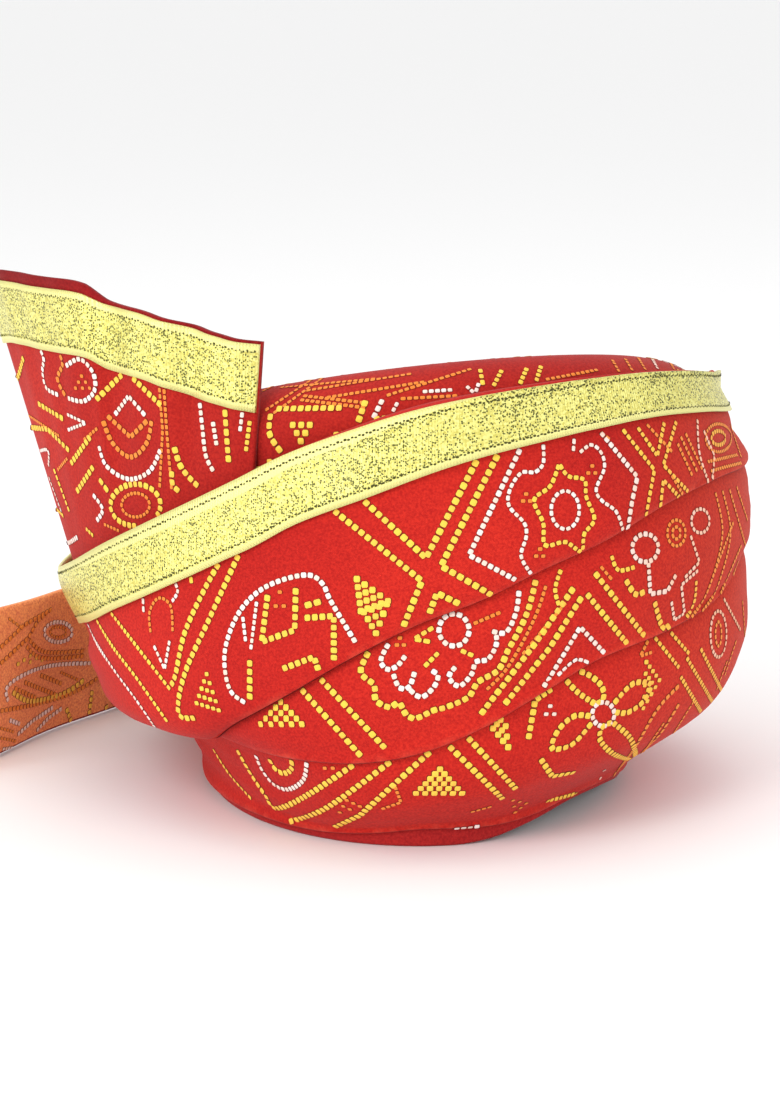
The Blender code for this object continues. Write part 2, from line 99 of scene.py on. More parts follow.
# Round the head: heights and tuck are shares of FRONT_HEIGHT, lace_show of LACE_WIDTH, fullness of
# WRAP_STACK, pockets and mouth go from 0 (none) to 1
COLUMNS = (
    "azimuth", "lace_top", "lace_show", "upper_low", "middle_low", "rim_lift", "lower_low",
    "lower_full", "middle_full", "upper_full", "tuck", "fan_pocket", "mouth", "tail_pocket",
)  # fmt: skip
ROUND_HEAD = (
    (-180, 0.477, 0.90, 0.180, 0.186, 0.000, 0.017, 0.42, 0.50, 1.50, 0.060, 1.00, 0.80, 0.00),
    (-165, 0.522, 0.93, 0.175, 0.186, 0.000, 0.017, 0.36, 0.50, 1.55, 0.062, 1.00, 0.60, 0.00),
    (-150, 0.605, 0.98, 0.186, 0.191, 0.000, 0.017, 0.32, 0.50, 1.45, 0.068, 1.00, 0.35, 0.00),
    (-135, 0.695, 1.00, 0.202, 0.201, 0.000, 0.017, 0.40, 0.55, 1.20, 0.066, 1.00, 0.15, 0.00),
    (-122, 0.776, 1.00, 0.275, 0.197, 0.000, 0.017, 0.58, 0.75, 1.05, 0.058, 1.00, 0.00, 0.00),
    (-112, 0.840, 1.00, 0.343, 0.202, 0.000, 0.020, 0.80, 0.90, 1.00, 0.040, 0.90, 0.00, 0.00),
    (-100, 0.898, 1.00, 0.437, 0.211, 0.000, 0.030, 0.95, 1.00, 1.00, 0.018, 0.00, 0.00, 0.00),
    (-90, 0.937, 0.96, 0.503, 0.236, 0.000, 0.040, 1.00, 1.00, 1.00, 0.008, 0.00, 0.00, 0.00),
    (-80, 0.960, 0.88, 0.550, 0.287, 0.000, 0.040, 1.00, 1.00, 1.00, 0.005, 0.00, -0.08, 0.00),
    (-70, 0.973, 0.82, 0.605, 0.354, 0.008, 0.030, 1.00, 1.00, 1.00, 0.014, 0.00, -0.20, 0.00),
    (-60, 0.979, 0.77, 0.647, 0.409, 0.026, 0.020, 0.95, 1.00, 0.98, 0.022, 0.00, -0.30, 0.00),
    (-45, 0.977, 0.72, 0.709, 0.443, 0.050, 0.017, 0.98, 1.00, 0.92, 0.026, 0.00, -0.38, 0.00),
    (-30, 0.960, 0.69, 0.733, 0.477, 0.046, 0.017, 1.02, 1.00, 0.82, 0.020, 0.00, -0.38, 0.00),
    (-15, 0.934, 0.67, 0.727, 0.532, 0.025, 0.017, 1.05, 1.00, 0.70, 0.012, 0.00, -0.36, 0.00),
    (0, 0.912, 0.67, 0.717, 0.543, 0.008, 0.017, 1.06, 1.00, 0.62, 0.007, 0.00, -0.34, 0.00),
    (30, 0.830, 0.75, 0.650, 0.488, 0.000, 0.017, 1.00, 1.00, 0.75, 0.010, 0.00, -0.20, 0.00),
    (60, 0.745, 0.90, 0.543, 0.400, 0.000, 0.017, 1.00, 1.00, 0.95, 0.010, 0.00, -0.10, 0.30),
    (75, 0.705, 1.00, 0.486, 0.352, 0.000, 0.017, 1.00, 1.00, 1.00, 0.005, 0.00, 0.00, 1.00),
    (90, 0.670, 1.00, 0.432, 0.308, 0.000, 0.017, 1.00, 1.00, 1.00, 0.000, 0.00, 0.00, 1.00),
    (105, 0.637, 1.00, 0.387, 0.272, 0.000, 0.017, 1.00, 0.95, 1.00, 0.005, 0.00, 0.00, 1.00),
    (120, 0.605, 1.00, 0.332, 0.242, 0.000, 0.017, 0.90, 0.90, 1.05, 0.015, 0.00, 0.00, 0.70),
    (150, 0.530, 1.00, 0.242, 0.197, 0.000, 0.017, 0.70, 0.60, 1.25, 0.045, 0.20, 0.30, 0.00),
)  # fmt: skip

LOWER_BULGE = (
    (0.0, 0.04), (0.04, 0.16), (0.10, 0.36), (0.17, 0.60), (0.30, 0.90), (0.50, 1.00),
    (0.70, 0.96), (0.85, 0.84), (1.0, 0.30),
)  # fmt: skip
MIDDLE_BULGE = ((0.0, 0.90), (0.12, 1.03), (0.35, 1.06), (0.60, 0.92), (0.78, 0.76), (1.0, 0.35))
UPPER_BULGE = ((0.0, 0.96), (0.12, 1.02), (0.35, 0.86), (0.70, 0.64), (1.0, 0.50))

# Fan: share across, lace's upper edge as a share of FAN_HEIGHT, pleat, and selvedge that shows
FAN_FOLDS = (
    (0.00, 0.966, 0.0, 1.0), (0.12, 0.979, 0.2, 1.0), (0.30, 0.981, 0.3, 1.0), (0.46, 0.980, 0.5, 0.9),
    (0.50, 0.963, -0.6, 0.3), (0.62, 0.955, 0.2, 0.2), (0.72, 0.943, 0.7, 0.2), (0.78, 0.931, -0.5, 0.2),
    (0.86, 0.921, 0.1, 0.2), (0.94, 0.914, 0.6, 0.2), (1.00, 0.908, -0.5, 0.2),
)  # fmt: skip

# Tail, root to free end: azimuth, height and stand-off of the lower and then of the upper long edge
TAIL_ROUTE = (
    (76, 1.54, 0.0, 103, 1.33, 0.0),
    (80, 1.32, 0.0, 106, 1.22, 0.0),
    (88, 0.84, 0.0, 110, 1.06, 0.03),
    (98, 0.38, 0.02, 115, 0.955, 0.28),
    (110, 0.09, 0.26, 121, 0.99, 0.38),
    (124, 0.03, 0.40, 130, 0.98, 0.46),
    (138, 0.02, 0.50, 141, 0.98, 0.54),
    (154, 0.02, 0.60, 155, 0.99, 0.60),
    (169, 0.02, 0.74, 169, 1.00, 0.74),
    (182, 0.02, 1.0, 181, 1.00, 1.0),
)

# How fine the meshes are
ROUND_STEPS = 300
WRAP_ROWS = 40
WRAP_INNER_ROWS = 12
LACE_ROWS = 10
FAN_STEPS = 120
FAN_ROWS = 44
TAIL_STEPS = 150
TAIL_ROWS = 26
TAIL_LENGTH = 0.27

# The photograph's camera: its frame, the size of a pixel at the head's middle, and where it looks
PHOTO_WIDTH, PHOTO_HEIGHT = 780, 1108
PIXEL = 0.0004
CAMERA_DISTANCE = 1.2
CAMERA_ELEVATION = math.radians(12)
HEAD_PIXEL = 416
AIM_RISE = 0.0872

# Printed dots: spacing along a row and breadth across it
DOT_SIZES = {
    ("yellow", "bold"): (0.0030, 0.0028),
    ("orange", "bold"): (0.0028, 0.0024),
    ("white", "bold"): (0.0026, 0.0023),
    ("yellow", "fine"): (0.0025, 0.0020),
    ("orange", "fine"): (0.0022, 0.0016),
    ("white", "fine"): (0.0024, 0.0017),
}
DOT_RISE = 0.0002
STITCH_RISE = 0.00004

rest = frame["record"]["mounts"][0]["pos_m"]
HEAD = np.array([rest[0], rest[1] + HEAD_HALF_LENGTH + RIM_WALL / 2, 0.0])


# ---- the same forms as the solids, worked out for whole arrays of places at once


def eased(rows, at):
    """Reads a smooth curve through rows of (place, value), which is straight beyond its ends."""
    places, values = np.array(rows, float).T
    at = np.asarray(at, float)
    left = np.clip(np.searchsorted(places, at, side="left") - 1, 0, len(places) - 2)
    width = places[left + 1] - places[left]
    slopes = np.empty(len(places))
    slopes[1:-1] = (values[2:] - values[:-2]) / (places[2:] - places[:-2])
    slopes[0] = (values[1] - values[0]) / (places[1] - places[0])
    slopes[-1] = (values[-1] - values[-2]) / (places[-1] - places[-2])
    t = np.clip((at - places[left]) / width, 0.0, 1.0)
    square, cube = t * t, t * t * t
    return (
        (2 * cube - 3 * square + 1) * values[left]
        + (cube - 2 * square + t) * width * slopes[left]
        + (3 * square - 2 * cube) * values[left + 1]
        + (cube - square) * width * slopes[left + 1]
    )


def closed_column(name):
    at = COLUMNS.index(name)
    rows = [(row[0], row[at]) for row in ROUND_HEAD]
    return [(x - 360, y) for x, y in rows[-2:]] + rows + [(x + 360, y) for x, y in rows[:3]]


AROUND = {name: closed_column(name) for name in COLUMNS[1:]}


def around(name, azimuth):
    return eased(AROUND[name], (np.asarray(azimuth, float) + 180.0) % 360.0 - 180.0)


def smooth_step(share):
    t = np.clip(share, 0.0, 1.0)
    return t * t * (3 - 2 * t)


def crown_height(azimuth):
    angle = np.radians(azimuth)
    return MIDDLE_HEIGHT - FRONT_LEAN * np.sin(angle) + SIDE_RISE * np.cos(angle)


def crown_halves(azimuth, height):
    level = height / FRONT_HEIGHT - around("tuck", azimuth)
    share = eased(FLARE, np.maximum(0.0, level))
    rim_width = HEAD_HALF_WIDTH + RIM_WALL
    rim_length = HEAD_HALF_LENGTH + RIM_WALL
    return (
        rim_width + (BODY_HALF_WIDTH - rim_width) * share,
        rim_length + (BODY_HALF_LENGTH - rim_length) * share,
    )


def place(azimuth, height, standoff):
    """Points this far outside the crown's outer face, as an array whose last axis is x, y, z."""
    half_width, half_length = crown_halves(azimuth, height)
    angle = np.radians(azimuth)
    across = (half_width + standoff) * np.cos(angle)
    along = (half_length + standoff) * np.sin(angle)
    return HEAD + np.stack([across, along, height + 0 * across], axis=-1)


def lower_span(azimuth):
    low = (around("lower_low", azimuth) + around("rim_lift", azimuth)) * FRONT_HEIGHT
    return low, around("middle_low", azimuth) * FRONT_HEIGHT + WRAP_OVERLAP


def middle_span(azimuth):
    low = around("middle_low", azimuth) * FRONT_HEIGHT
    return low, around("upper_low", azimuth) * FRONT_HEIGHT + WRAP_OVERLAP


def upper_span(azimuth):
    return around("upper_low", azimuth) * FRONT_HEIGHT, around("lace_top", azimuth) * FRONT_HEIGHT


WRAPS = (
    ("lower_wrap", lower_span, LOWER_BULGE, "lower_full"),
    ("middle_wrap", middle_span, MIDDLE_BULGE, "middle_full"),
    ("upper_wrap", upper_span, UPPER_BULGE, "upper_full"),
)
UPPER = 2


def wrap_inner(index, azimuth, height):
    """Stand-off of a wrap's inner face, which follows what lies under it."""
    level = height / FRONT_HEIGHT - around("tuck", azimuth)
    room = FLARE_ROOM * smooth_step((FLARE[-2][0] - level) / 0.1 + 0.9)
    nearby = [wrap_outer(index - 1, azimuth, height + shift) for shift in (-LEVELLING, 0, LEVELLING)]
    beneath = np.maximum.reduce(nearby) + GAP + room
    if index < UPPER:
        return beneath
    low, high = upper_span(azimuth)
    share = (height - low) / (high - low)
    tail_room = (TAIL_THICKNESS + 4 * TAIL_ROOM) * smooth_step((0.75 - share) / 0.25)
    beneath = beneath + np.maximum(0.0, around("tail_pocket", azimuth) * tail_room)
    rim = own_bulge(index, azimuth, share) - POCKET_WALL
    opened = np.clip(around("fan_pocket", azimuth), 0, 1) * smooth_step((share - 0.5) / 0.5)
    return np.maximum(beneath, beneath + (rim - beneath) * opened)


def own_bulge(index, azimuth, share):
    bulge, fullness = WRAPS[index][2:]
    standoff = eased(bulge, share) * around(fullness, azimuth)
    if index == UPPER:
        standoff = standoff + around("mouth", azimuth) * smooth_step((share - 0.45) / 0.55)
    return standoff * WRAP_STACK


def wrap_outer(index, azimuth, height):
    """Stand-off of the outer face of this wrap, or of what lies under it where it doesn't reach."""
    if index < 0:
        return np.zeros(np.broadcast(azimuth, height).shape)
    beneath = wrap_outer(index - 1, azimuth, height)
    low, high = WRAPS[index][1](azimuth)
    share = np.clip((height - low) / (high - low), 0.0, 1.0)
    own = np.maximum(
        own_bulge(index, azimuth, share),
        wrap_inner(index, azimuth, np.clip(height, low, high)) + THINNEST_LAYER,
    )
    own = own * (1.0 - np.clip((height - high) / LAYER_FADE, 0.0, 1.0))
    return np.where(height < low, beneath, np.maximum(beneath, own))


def folds(index, azimuth, height):
    """Fine rise and fall of a wrap's outer face: soft sags along it, and gathers at the left end."""
    low, high = WRAPS[index][1](azimuth)
    share = (height - low) / (high - low)
    turn = np.radians(azimuth)
    sag = np.sin(9.0 * share + 2.3 * turn + 1.7 * index) * np.sin(3.1 * turn + 2.0 * index)
    creases = np.sin(26.0 * share + 5.0 * turn) ** 3 * (0.35 + 0.65 * np.sin(2.0 * turn + index) ** 2)
    left = smooth_step((-128.0 - azimuth) / 40.0) + smooth_step((azimuth - 135.0) / 35.0)
    gathers = np.sin(19.0 * share + 0.9 * np.sin(4 * turn))
    cover = WRAPS[index + 1][1](azimuth)[0] if index < UPPER else high - 0.9 * LACE_WIDTH
    bare = smooth_step((cover - height) / 0.005)
    return (0.00045 * sag + 0.00022 * creases + 0.0008 * left * gathers) * bare


# ---- meshes


def skin(name, sections, lengths, finishes, ring=True, loop=True, lining=None):
    """A cloth mesh through sections of points, with its own UV map in metres along and across.

    sections is an array of sections by points by xyz. ring joins the last section to the first, loop
    joins each section's last point to its first. lining gives the points whose faces are the lining.
    """
    count, size = sections.shape[:2]
    rows = count if ring else count - 1
    columns = size if loop else size - 1
    down = np.concatenate([sections, sections[:, :1]], axis=1)
    across = np.linalg.norm(np.diff(down, axis=1), axis=2)
    across = np.concatenate([np.zeros((count, 1)), np.cumsum(across, axis=1)], axis=1)
    faces, finish, spread = [], [], []
    for row in range(rows):
        beyond = (row + 1) % count
        for column in range(columns):
            beside = (column + 1) % size
            corners = ((row, column), (beyond, column), (beyond, beside), (row, beside))
            faces.append([at * size + point for at, point in corners])
            finish.append(1 if lining and lining(column, size) else 0)
            for step, point in ((row, column), (row + 1, column), (row + 1, column + 1), (row, column + 1)):
                spread.append((lengths[step], across[step % count, point]))
    if not ring:
        for row, order in ((0, 1), (count - 1, -1)):
            faces.append([row * size + point for point in range(size)][::order])
            finish.append(0)
            spread += [(lengths[row], across[row, point]) for point in range(size)][::order]
    mesh = bpy.data.meshes.new(name)
    mesh.from_pydata(sections.reshape(-1, 3).tolist(), [], faces)
    chart = mesh.uv_layers.new(name="cloth")
    chart.data.foreach_set("uv", np.array(spread, np.float32).ravel())
    for made in finishes:
        mesh.materials.append(made)
    mesh.polygons.foreach_set("material_index", finish)
    mesh.shade_smooth()
    piece = in_scene(name, mesh)
    turn_outwards(piece)
    return piece


def in_scene(name, data):
    made = bpy.data.objects.new(name, data)
    bpy.context.scene.collection.objects.link(made)
    return made


def turn_outwards(piece):
    """Points the faces outwards, which recalculation in edit mode does for a closed mesh."""
    bpy.context.view_layer.objects.active = piece
    piece.select_set(True)
    bpy.ops.object.mode_set(mode="EDIT")
    bpy.ops.mesh.select_all(action="SELECT")
    bpy.ops.mesh.normals_make_consistent(inside=False)
    bpy.ops.object.mode_set(mode="OBJECT")
    piece.select_set(False)


def round_azimuths(steps=ROUND_STEPS):
    return -180.0 + 360.0 * np.arange(steps) / steps


def round_lengths(steps, radius):
    return np.arange(steps + 1) / steps * 2 * math.pi * radius


def fold_round(distance, thickness):
    """How full a folded edge is this far from its end: a half round as thick as the layer."""
    reach = np.clip(thickness, 0.0008, 0.004)
    return np.sqrt(np.clip(1 - (1 - np.clip(distance / reach, 0, 1)) ** 2, 0.0, 1.0))


def wrap(index, finish):
    """One wound turn, round at its folded lower edge and thin where the next turn covers it."""
    name, span = WRAPS[index][:2]
    azimuth = round_azimuths()[:, None]
    low, high = span(azimuth)
    shares = np.concatenate([[0, 0.004, 0.012, 0.025, 0.045, 0.07], np.linspace(0.1, 1.0, WRAP_ROWS - 6)])
    height = low + (high - low) * shares
    inner = wrap_inner(index, azimuth, height)
    outer = wrap_outer(index, azimuth, height + 1e-9)
    thick = outer - inner
    full = fold_round(height - low, thick) * (0.35 + 0.65 * fold_round(high - height, thick))
    outside = place(azimuth, height, inner + thick * full + folds(index, azimuth, height) * full)
    back = low + (high - low) * np.linspace(1.0, 0.0, WRAP_INNER_ROWS)
    inside = place(azimuth, back, wrap_inner(index, azimuth, back))
    sections = np.concatenate([outside, inside], axis=1)
    return skin(name + "_cloth", sections, round_lengths(ROUND_STEPS, 0.125), [finish])


def crown(cloth, lining):
    """Hollow crown: printed cloth outside, plain lining inside."""
    azimuth = round_azimuths()
    height = crown_height(azimuth)

    def side(inset):
        low = RIM_BAND_HEIGHT + GAP
        shoulder = height - SHOULDER_RADIUS
        rows = [place(azimuth, low + (shoulder - low) * t, -inset) for t in np.linspace(0, 1, 26)]
        for angle in np.radians(np.linspace(0, 90, 10)[1:]):
            fall = inset + (SHOULDER_RADIUS - inset) * (1 - math.cos(angle))
            level = shoulder + (SHOULDER_RADIUS - inset) * math.sin(angle)
            rows.append(place(azimuth, level, -fall))
        half_width, half_length = crown_halves(azimuth, height)
        turn = np.radians(azimuth)
        for share in np.linspace(0.96, 0.02, 30):
            dome = CROWN_DOME * (1 - share**2)
            level = MIDDLE_HEIGHT + (height - MIDDLE_HEIGHT) * share + dome - inset
            wrinkle = 0.0008 * np.sin(5 * turn + 7 * share) * share**2 * (1 - share) * 4
            wrinkle += 0.0004 * np.sin(9 * turn - 12 * share) * share**3 * (1 - share) * 4
            across = (half_width - SHOULDER_RADIUS) * share * np.cos(turn)
            along = (half_length - SHOULDER_RADIUS) * share * np.sin(turn)
            lift = wrinkle * (1 if inset == 0 else 0)
            rows.append(HEAD + np.stack([across, along, level + lift], axis=-1))
        return rows

    outer, inner = side(0.0), side(CROWN_WALL)
    sections = np.stack(outer + inner[::-1], axis=1)
    half = len(outer)
    made = skin(
        "crown_cloth", sections, round_lengths(ROUND_STEPS, 0.115), [cloth, lining],
        loop=True, lining=lambda column, size: half - 1 < column,
    )  # fmt: skip
    return close_poles(made, sections, half)


def close_poles(made, sections, half):
    """Replaces the short tube at the crown's middle, between outside and lining, with two caps."""
    shell = bmesh.new()
    shell.from_mesh(made.data)
    shell.verts.ensure_lookup_table()
    size = sections.shape[1]
    rings = [[shell.verts[row * size + at] for row in range(len(sections))] for at in (half - 1, half)]
    outside, inside = map(set, rings)
    tube = [
        face for face in shell.faces
        if outside.issuperset(set(face.verts) - inside) and 0 < sum(v in inside for v in face.verts) < 4
    ]  # fmt: skip
    bmesh.ops.delete(shell, geom=tube, context="FACES_ONLY")
    for ring, finish in ((rings[0], 0), (rings[1], 1)):
        cap = shell.faces.new(ring)
        cap.material_index = finish
        cap.smooth = True
    bmesh.ops.recalc_face_normals(shell, faces=shell.faces[:])
    shell.to_mesh(made.data)
    shell.free()
    return made


def rim_band(finish):
    """Padded band round the head opening."""
    azimuth = round_azimuths()
    half_width, half_length = crown_halves(azimuth, 0.0 * azimuth)
    low = np.maximum(0.0, around("rim_lift", azimuth)) * FRONT_HEIGHT
    turn = np.radians(azimuth)
    top, soft = RIM_BAND_HEIGHT, RIM_ROUNDING

    def inside(height, shift):
        across = (half_width - RIM_WALL + shift) * np.cos(turn)
        along = (half_length - RIM_WALL + shift) * np.sin(turn)
        return HEAD + np.stack([across, along, height + 0 * across], axis=-1)

    rows = [inside(low, soft), inside(low + 0.3 * soft, 0.3 * soft), inside(low + soft, 0.0)]
    rows += [inside(low + (top - low) * t, 0.0003 * math.sin(math.pi * t)) for t in (0.3, 0.5, 0.7)]
    rows += [inside(top - soft, 0.0), inside(top - 0.3 * soft, 0.3 * soft), inside(top, soft)]
    rows += [place(azimuth, top + 0 * azimuth, -soft), place(azimuth, top - soft + 0 * azimuth, 0.0)]
    rows += [place(azimuth, low + (top - low) * t, 0.0) for t in (0.7, 0.5, 0.3)]
    rows += [place(azimuth, low + soft, 0.0), place(azimuth, low + 0.3 * soft, -0.3 * soft)]
    rows += [inside(low, RIM_WALL - soft)]
    sections = np.stack(rows, axis=1)
    return skin("rim_band_cloth", sections, round_lengths(ROUND_STEPS, 0.09), [finish])


def lace_drop(azimuth):
    """Height that the lace covers, so that it keeps its width where its edge climbs or leans in."""
    before, after = (place(azimuth + turn, upper_span(azimuth + turn)[1], 0.0) for turn in (-2.0, 2.0))
    step = after - before
    run = np.hypot(step[..., 0], step[..., 1])
    high = upper_span(azimuth)[1]
    lean = wrap_outer(UPPER, azimuth, high - LACE_WIDTH) - wrap_outer(UPPER, azimuth, high)
    width = LACE_WIDTH * around("lace_show", azimuth)
    return width * np.hypot(run, step[..., 2]) / run * width / np.hypot(lean, width)


def lace_place(azimuth, share, rise):
    """A point on the wrap's lace at this share of its width, this far above the cloth."""
    high = upper_span(azimuth)[1]
    level = high - lace_drop(azimuth) * (1 - share)
    return place(azimuth, level, wrap_outer(UPPER, azimuth, level) + rise)


def wrap_lace(finish):
    azimuth = round_azimuths()[:, None]
    shares = np.linspace(0, 1, LACE_ROWS)
    outer = lace_place(azimuth, shares, LACE_ROOM + LACE_THICKNESS)
    inner = lace_place(azimuth, shares[::-1], LACE_ROOM)
    sections = np.concatenate([outer, inner], axis=1)
    return skin("wrap_lace_weave", sections, round_lengths(ROUND_STEPS, 0.125), [finish])


def fan_azimuth(across):
    return FAN_LEFT_AZIMUTH + (FAN_RIGHT_AZIMUTH - FAN_LEFT_AZIMUTH) * across


def fan_column(column, across):
    return eased([(row[0], row[column]) for row in FAN_FOLDS], across)


def fan_standoff(across, height):
    """Stand-off of the fan's middle: it leans on the top wrap's open edge and fans out above it."""
    azimuth = fan_azimuth(across)
    edge = upper_span(azimuth)[1]
    seat = wrap_inner(UPPER, azimuth, np.minimum(height, edge)) - FAN_ROOM - FAN_WALL / 2
    rise = np.maximum(0.0, height - edge) / (fan_column(1, across) * FAN_HEIGHT - edge)
    pleat = fan_column(2, across) * FAN_PLEAT_DEPTH
    crease = 0.0005 * np.sin(across * 55.0) * np.clip(rise, 0, 1) * (1 - 0.5 * rise)
    return seat + (FAN_LEAN * (1 - across) ** 1.5 + pleat - FAN_PLEAT_DEPTH) * rise + crease


def fan_sheet(name, levels, face, back, finishes, edging=None):
    across = np.linspace(0, 1, FAN_STEPS)[:, None]
    heights = levels(across)
    azimuth = fan_azimuth(across)
    middle = fan_standoff(across, heights)
    front = place(azimuth, heights, middle + face)
    behind = place(azimuth, heights, middle + back)[:, ::-1]
    sections = np.concatenate([front, behind], axis=1)
    return skin(name, sections, np.linspace(0, 0.15, FAN_STEPS), finishes, ring=False, lining=edging)


def fan(finish, selvedge):
    """Pleated cloth fan, its foot tucked between the crown and the top wrap, its selvedge on top."""
    rows = 3 + FAN_ROWS

    def levels(across):
        edge = upper_span(fan_azimuth(across))[1]
        top = fan_column(1, across) * FAN_HEIGHT
        tucked = edge - FAN_TUCK * np.array([[1.0, 0.66, 0.33]])
        shown = edge + (top - edge) * np.linspace(0, 1, FAN_ROWS)
        return np.concatenate([tucked, shown, top + fan_column(3, across) * FAN_SELVEDGE], axis=1)

    def edging(column, size):
        return rows - 1 <= column <= rows + 1

    return fan_sheet("fan_cloth", levels, FAN_WALL / 2, -FAN_WALL / 2, [finish, selvedge], edging)


def fan_lace_level(across, share):
    return fan_column(1, across) * FAN_HEIGHT - LACE_WIDTH * (1 - share)


def fan_lace(finish):
    near = FAN_WALL / 2 + GAP

    def levels(across):
        return fan_lace_level(across, np.linspace(0, 1, LACE_ROWS)[None, :])

    return fan_sheet("fan_lace_weave", levels, near + LACE_THICKNESS, near, [finish])


def tail_place(along, share, side):
    """A point on the tail: along from root (0) to free end (1), share up its width, side out or in."""
    at = np.asarray(along) * (len(TAIL_ROUTE) - 1)
    columns = [list(enumerate(column)) for column in zip(*TAIL_ROUTE, strict=True)]
    low_azimuth, low_height, low_out, up_azimuth, up_height, up_out = (eased(c, at) for c in columns)
    azimuth = low_azimuth + (up_azimuth - low_azimuth) * share
    height = (low_height + (up_height - low_height) * share) * TAIL_WIDTH
    out = (low_out + (up_out - low_out) * share) * TAIL_REACH
    free = out + BODY_HALF_WIDTH - crown_halves(azimuth, height)[0]
    nearby = [wrap_outer(UPPER - 1, azimuth, height + s) for s in (-TAIL_LEVELLING, 0, TAIL_LEVELLING)]
    middle = np.maximum(np.maximum.reduce(nearby) + TAIL_ROOM, free) + TAIL_THICKNESS / 2
    loose = smooth_step((np.asarray(along) - 0.45) / 0.2)
    wave = 0.0011 * np.sin(31.0 * along + 3.0 * share) * loose
    full = 0.35 + 0.65 * np.sqrt(np.clip(1 - (2 * np.asarray(share) - 1) ** 8, 0, 1))
    return place(azimuth, height, middle + wave + side * full * TAIL_THICKNESS / 2)


def tail(finish, selvedge):
    """Folded free end, rooted under the top wrap and standing on its long edge."""
    along = np.linspace(0, 1, TAIL_STEPS)[:, None]
    shares = (1 - np.cos(np.linspace(0, math.pi, TAIL_ROWS))) / 2
    sections = np.concatenate([tail_place(along, shares, 1), tail_place(along, shares[::-1], -1)], axis=1)

    # painted shade: the faces along the tail's lower long edge take the dark selvedge red
    def edging(column, size):
        return column < 2 or column > size - 4

    lengths = np.linspace(0, TAIL_LENGTH, TAIL_STEPS)
    return skin("tail_cloth", sections, lengths, [finish, selvedge], ring=False, lining=edging)


# ---- finishes


def socket_group(name, inputs, outputs):
    group = bpy.data.node_groups.new(name, "ShaderNodeTree")
    for label, kind, value in inputs:
        made = group.interface.new_socket(name=label, in_out="INPUT", socket_type=kind)
        if value is not None:
            made.default_value = value
    for label, kind in outputs:
        group.interface.new_socket(name=label, in_out="OUTPUT", socket_type=kind)
    start = group.nodes.new("NodeGroupInput")
    end = group.nodes.new("NodeGroupOutput")
    return group, start, end


def axes_of(tree, vector):
    split = tree.nodes.new("ShaderNodeSeparateXYZ")
    tree.links.new(vector, split.inputs[0])
    return split.outputs


def maths(group, operation, first, second=None, third=None):
    node = group.nodes.new("ShaderNodeMath")
    node.operation = operation
    for at, value in enumerate((first, second, third)):
        if value is None:
            continue
        if isinstance(value, (int, float)):
            node.inputs[at].default_value = value
        else:
            group.links.new(value, node.inputs[at])
    return node.outputs[0]


def noise_of(group, vector, scale, detail=2.0):
    node = group.nodes.new("ShaderNodeTexNoise")
    node.inputs["Scale"].default_value = scale
    node.inputs["Detail"].default_value = detail
    group.links.new(vector, node.inputs["Vector"])
    return node.outputs["Fac"]


def mixed(group, factor, first, second):
    node = group.nodes.new("ShaderNodeMix")
    node.data_type = "RGBA"
    for value, at in ((factor, 0), (first, 6), (second, 7)):
        if isinstance(value, (int, float)):
            node.inputs[at].default_value = value
        elif isinstance(value, tuple):
            node.inputs[at].default_value = (*value, 1.0)
        else:
            group.links.new(value, node.inputs[at])
    return node.outputs[2]


def ranged(group, value, low, high, least=0.0, most=1.0):
    node = group.nodes.new("ShaderNodeMapRange")
    for label, number in (("From Min", low), ("From Max", high), ("To Min", least), ("To Max", most)):
        node.inputs[label].default_value = number
    group.links.new(value, node.inputs["Value"])
    return node.outputs[0]


def multiplied(group, amount, base, shade):
    node = group.nodes.new("ShaderNodeMix")
    node.data_type = "RGBA"
    node.blend_type = "MULTIPLY"
    node.inputs[0].default_value = amount
    group.links.new(base, node.inputs[6])
    group.links.new(shade, node.inputs[7])
    return node.outputs[2]


def plain_weave():
    """Height of a plain weave in UV metres, with slubs in its yarns."""
    group, start, end = socket_group(
        "plain weave",
        [("Cloth", "NodeSocketVector", None), ("Yarn", "NodeSocketFloat", 0.0005)],
        [("Height", "NodeSocketFloat")],
    )
    axes = axes_of(group, start.outputs["Cloth"])
    turns = maths(group, "DIVIDE", math.pi, start.outputs["Yarn"])
    warp = maths(group, "SINE", maths(group, "MULTIPLY", axes[0], turns))
    weft = maths(group, "SINE", maths(group, "MULTIPLY", axes[1], turns))
    crossing = maths(group, "MULTIPLY", warp, weft)
    slub = noise_of(group, start.outputs["Cloth"], 420.0, 3.0)
    group.links.new(maths(group, "MULTIPLY_ADD", crossing, 0.35, slub), end.inputs["Height"])
    return group


def dye_bath():
    """How far the dye is off its middle colour: slow clouds over the cloth, and a fine mottle."""
    group, start, end = socket_group(
        "dye bath",
        [("Place", "NodeSocketVector", None)],
        [("Cloud", "NodeSocketFloat"), ("Mottle", "NodeSocketFloat")],
    )
    cloud = noise_of(group, start.outputs["Place"], 9.0, 2.0)
    mottle = noise_of(group, start.outputs["Place"], 1100.0, 3.0)
    group.links.new(ranged(group, cloud, 0.32, 0.68), end.inputs["Cloud"])
    group.links.new(ranged(group, mottle, 0.34, 0.66), end.inputs["Mottle"])
    return group


def fold_wear_and_edge_shade():
    """Along a wrap's folded lower edge: a dark line of painted shade along it, and the worn, paler turn."""
    group, start, end = socket_group(
        "fold wear and edge shade",
        [("Cloth", "NodeSocketVector", None)],
        [("Crease", "NodeSocketFloat"), ("Worn", "NodeSocketFloat")],
    )
    axes = axes_of(group, start.outputs["Cloth"])
    patches = noise_of(group, start.outputs["Cloth"], 130.0, 3.0)
    worn = maths(group, "MULTIPLY", ranged(group, axes[1], 0.0045, 0.0012), ranged(group, patches, 0.42, 0.7))
    # painted shade mask: full at the lowest 0.7 mm of the folded edge, gone by 1.3 mm
    group.links.new(ranged(group, axes[1], 0.0013, 0.0007), end.inputs["Crease"])
    group.links.new(worn, end.inputs["Worn"])
    return group


WEAVE = plain_weave()
DYE = dye_bath()
FOLD_WEAR_AND_SHADE = fold_wear_and_edge_shade()


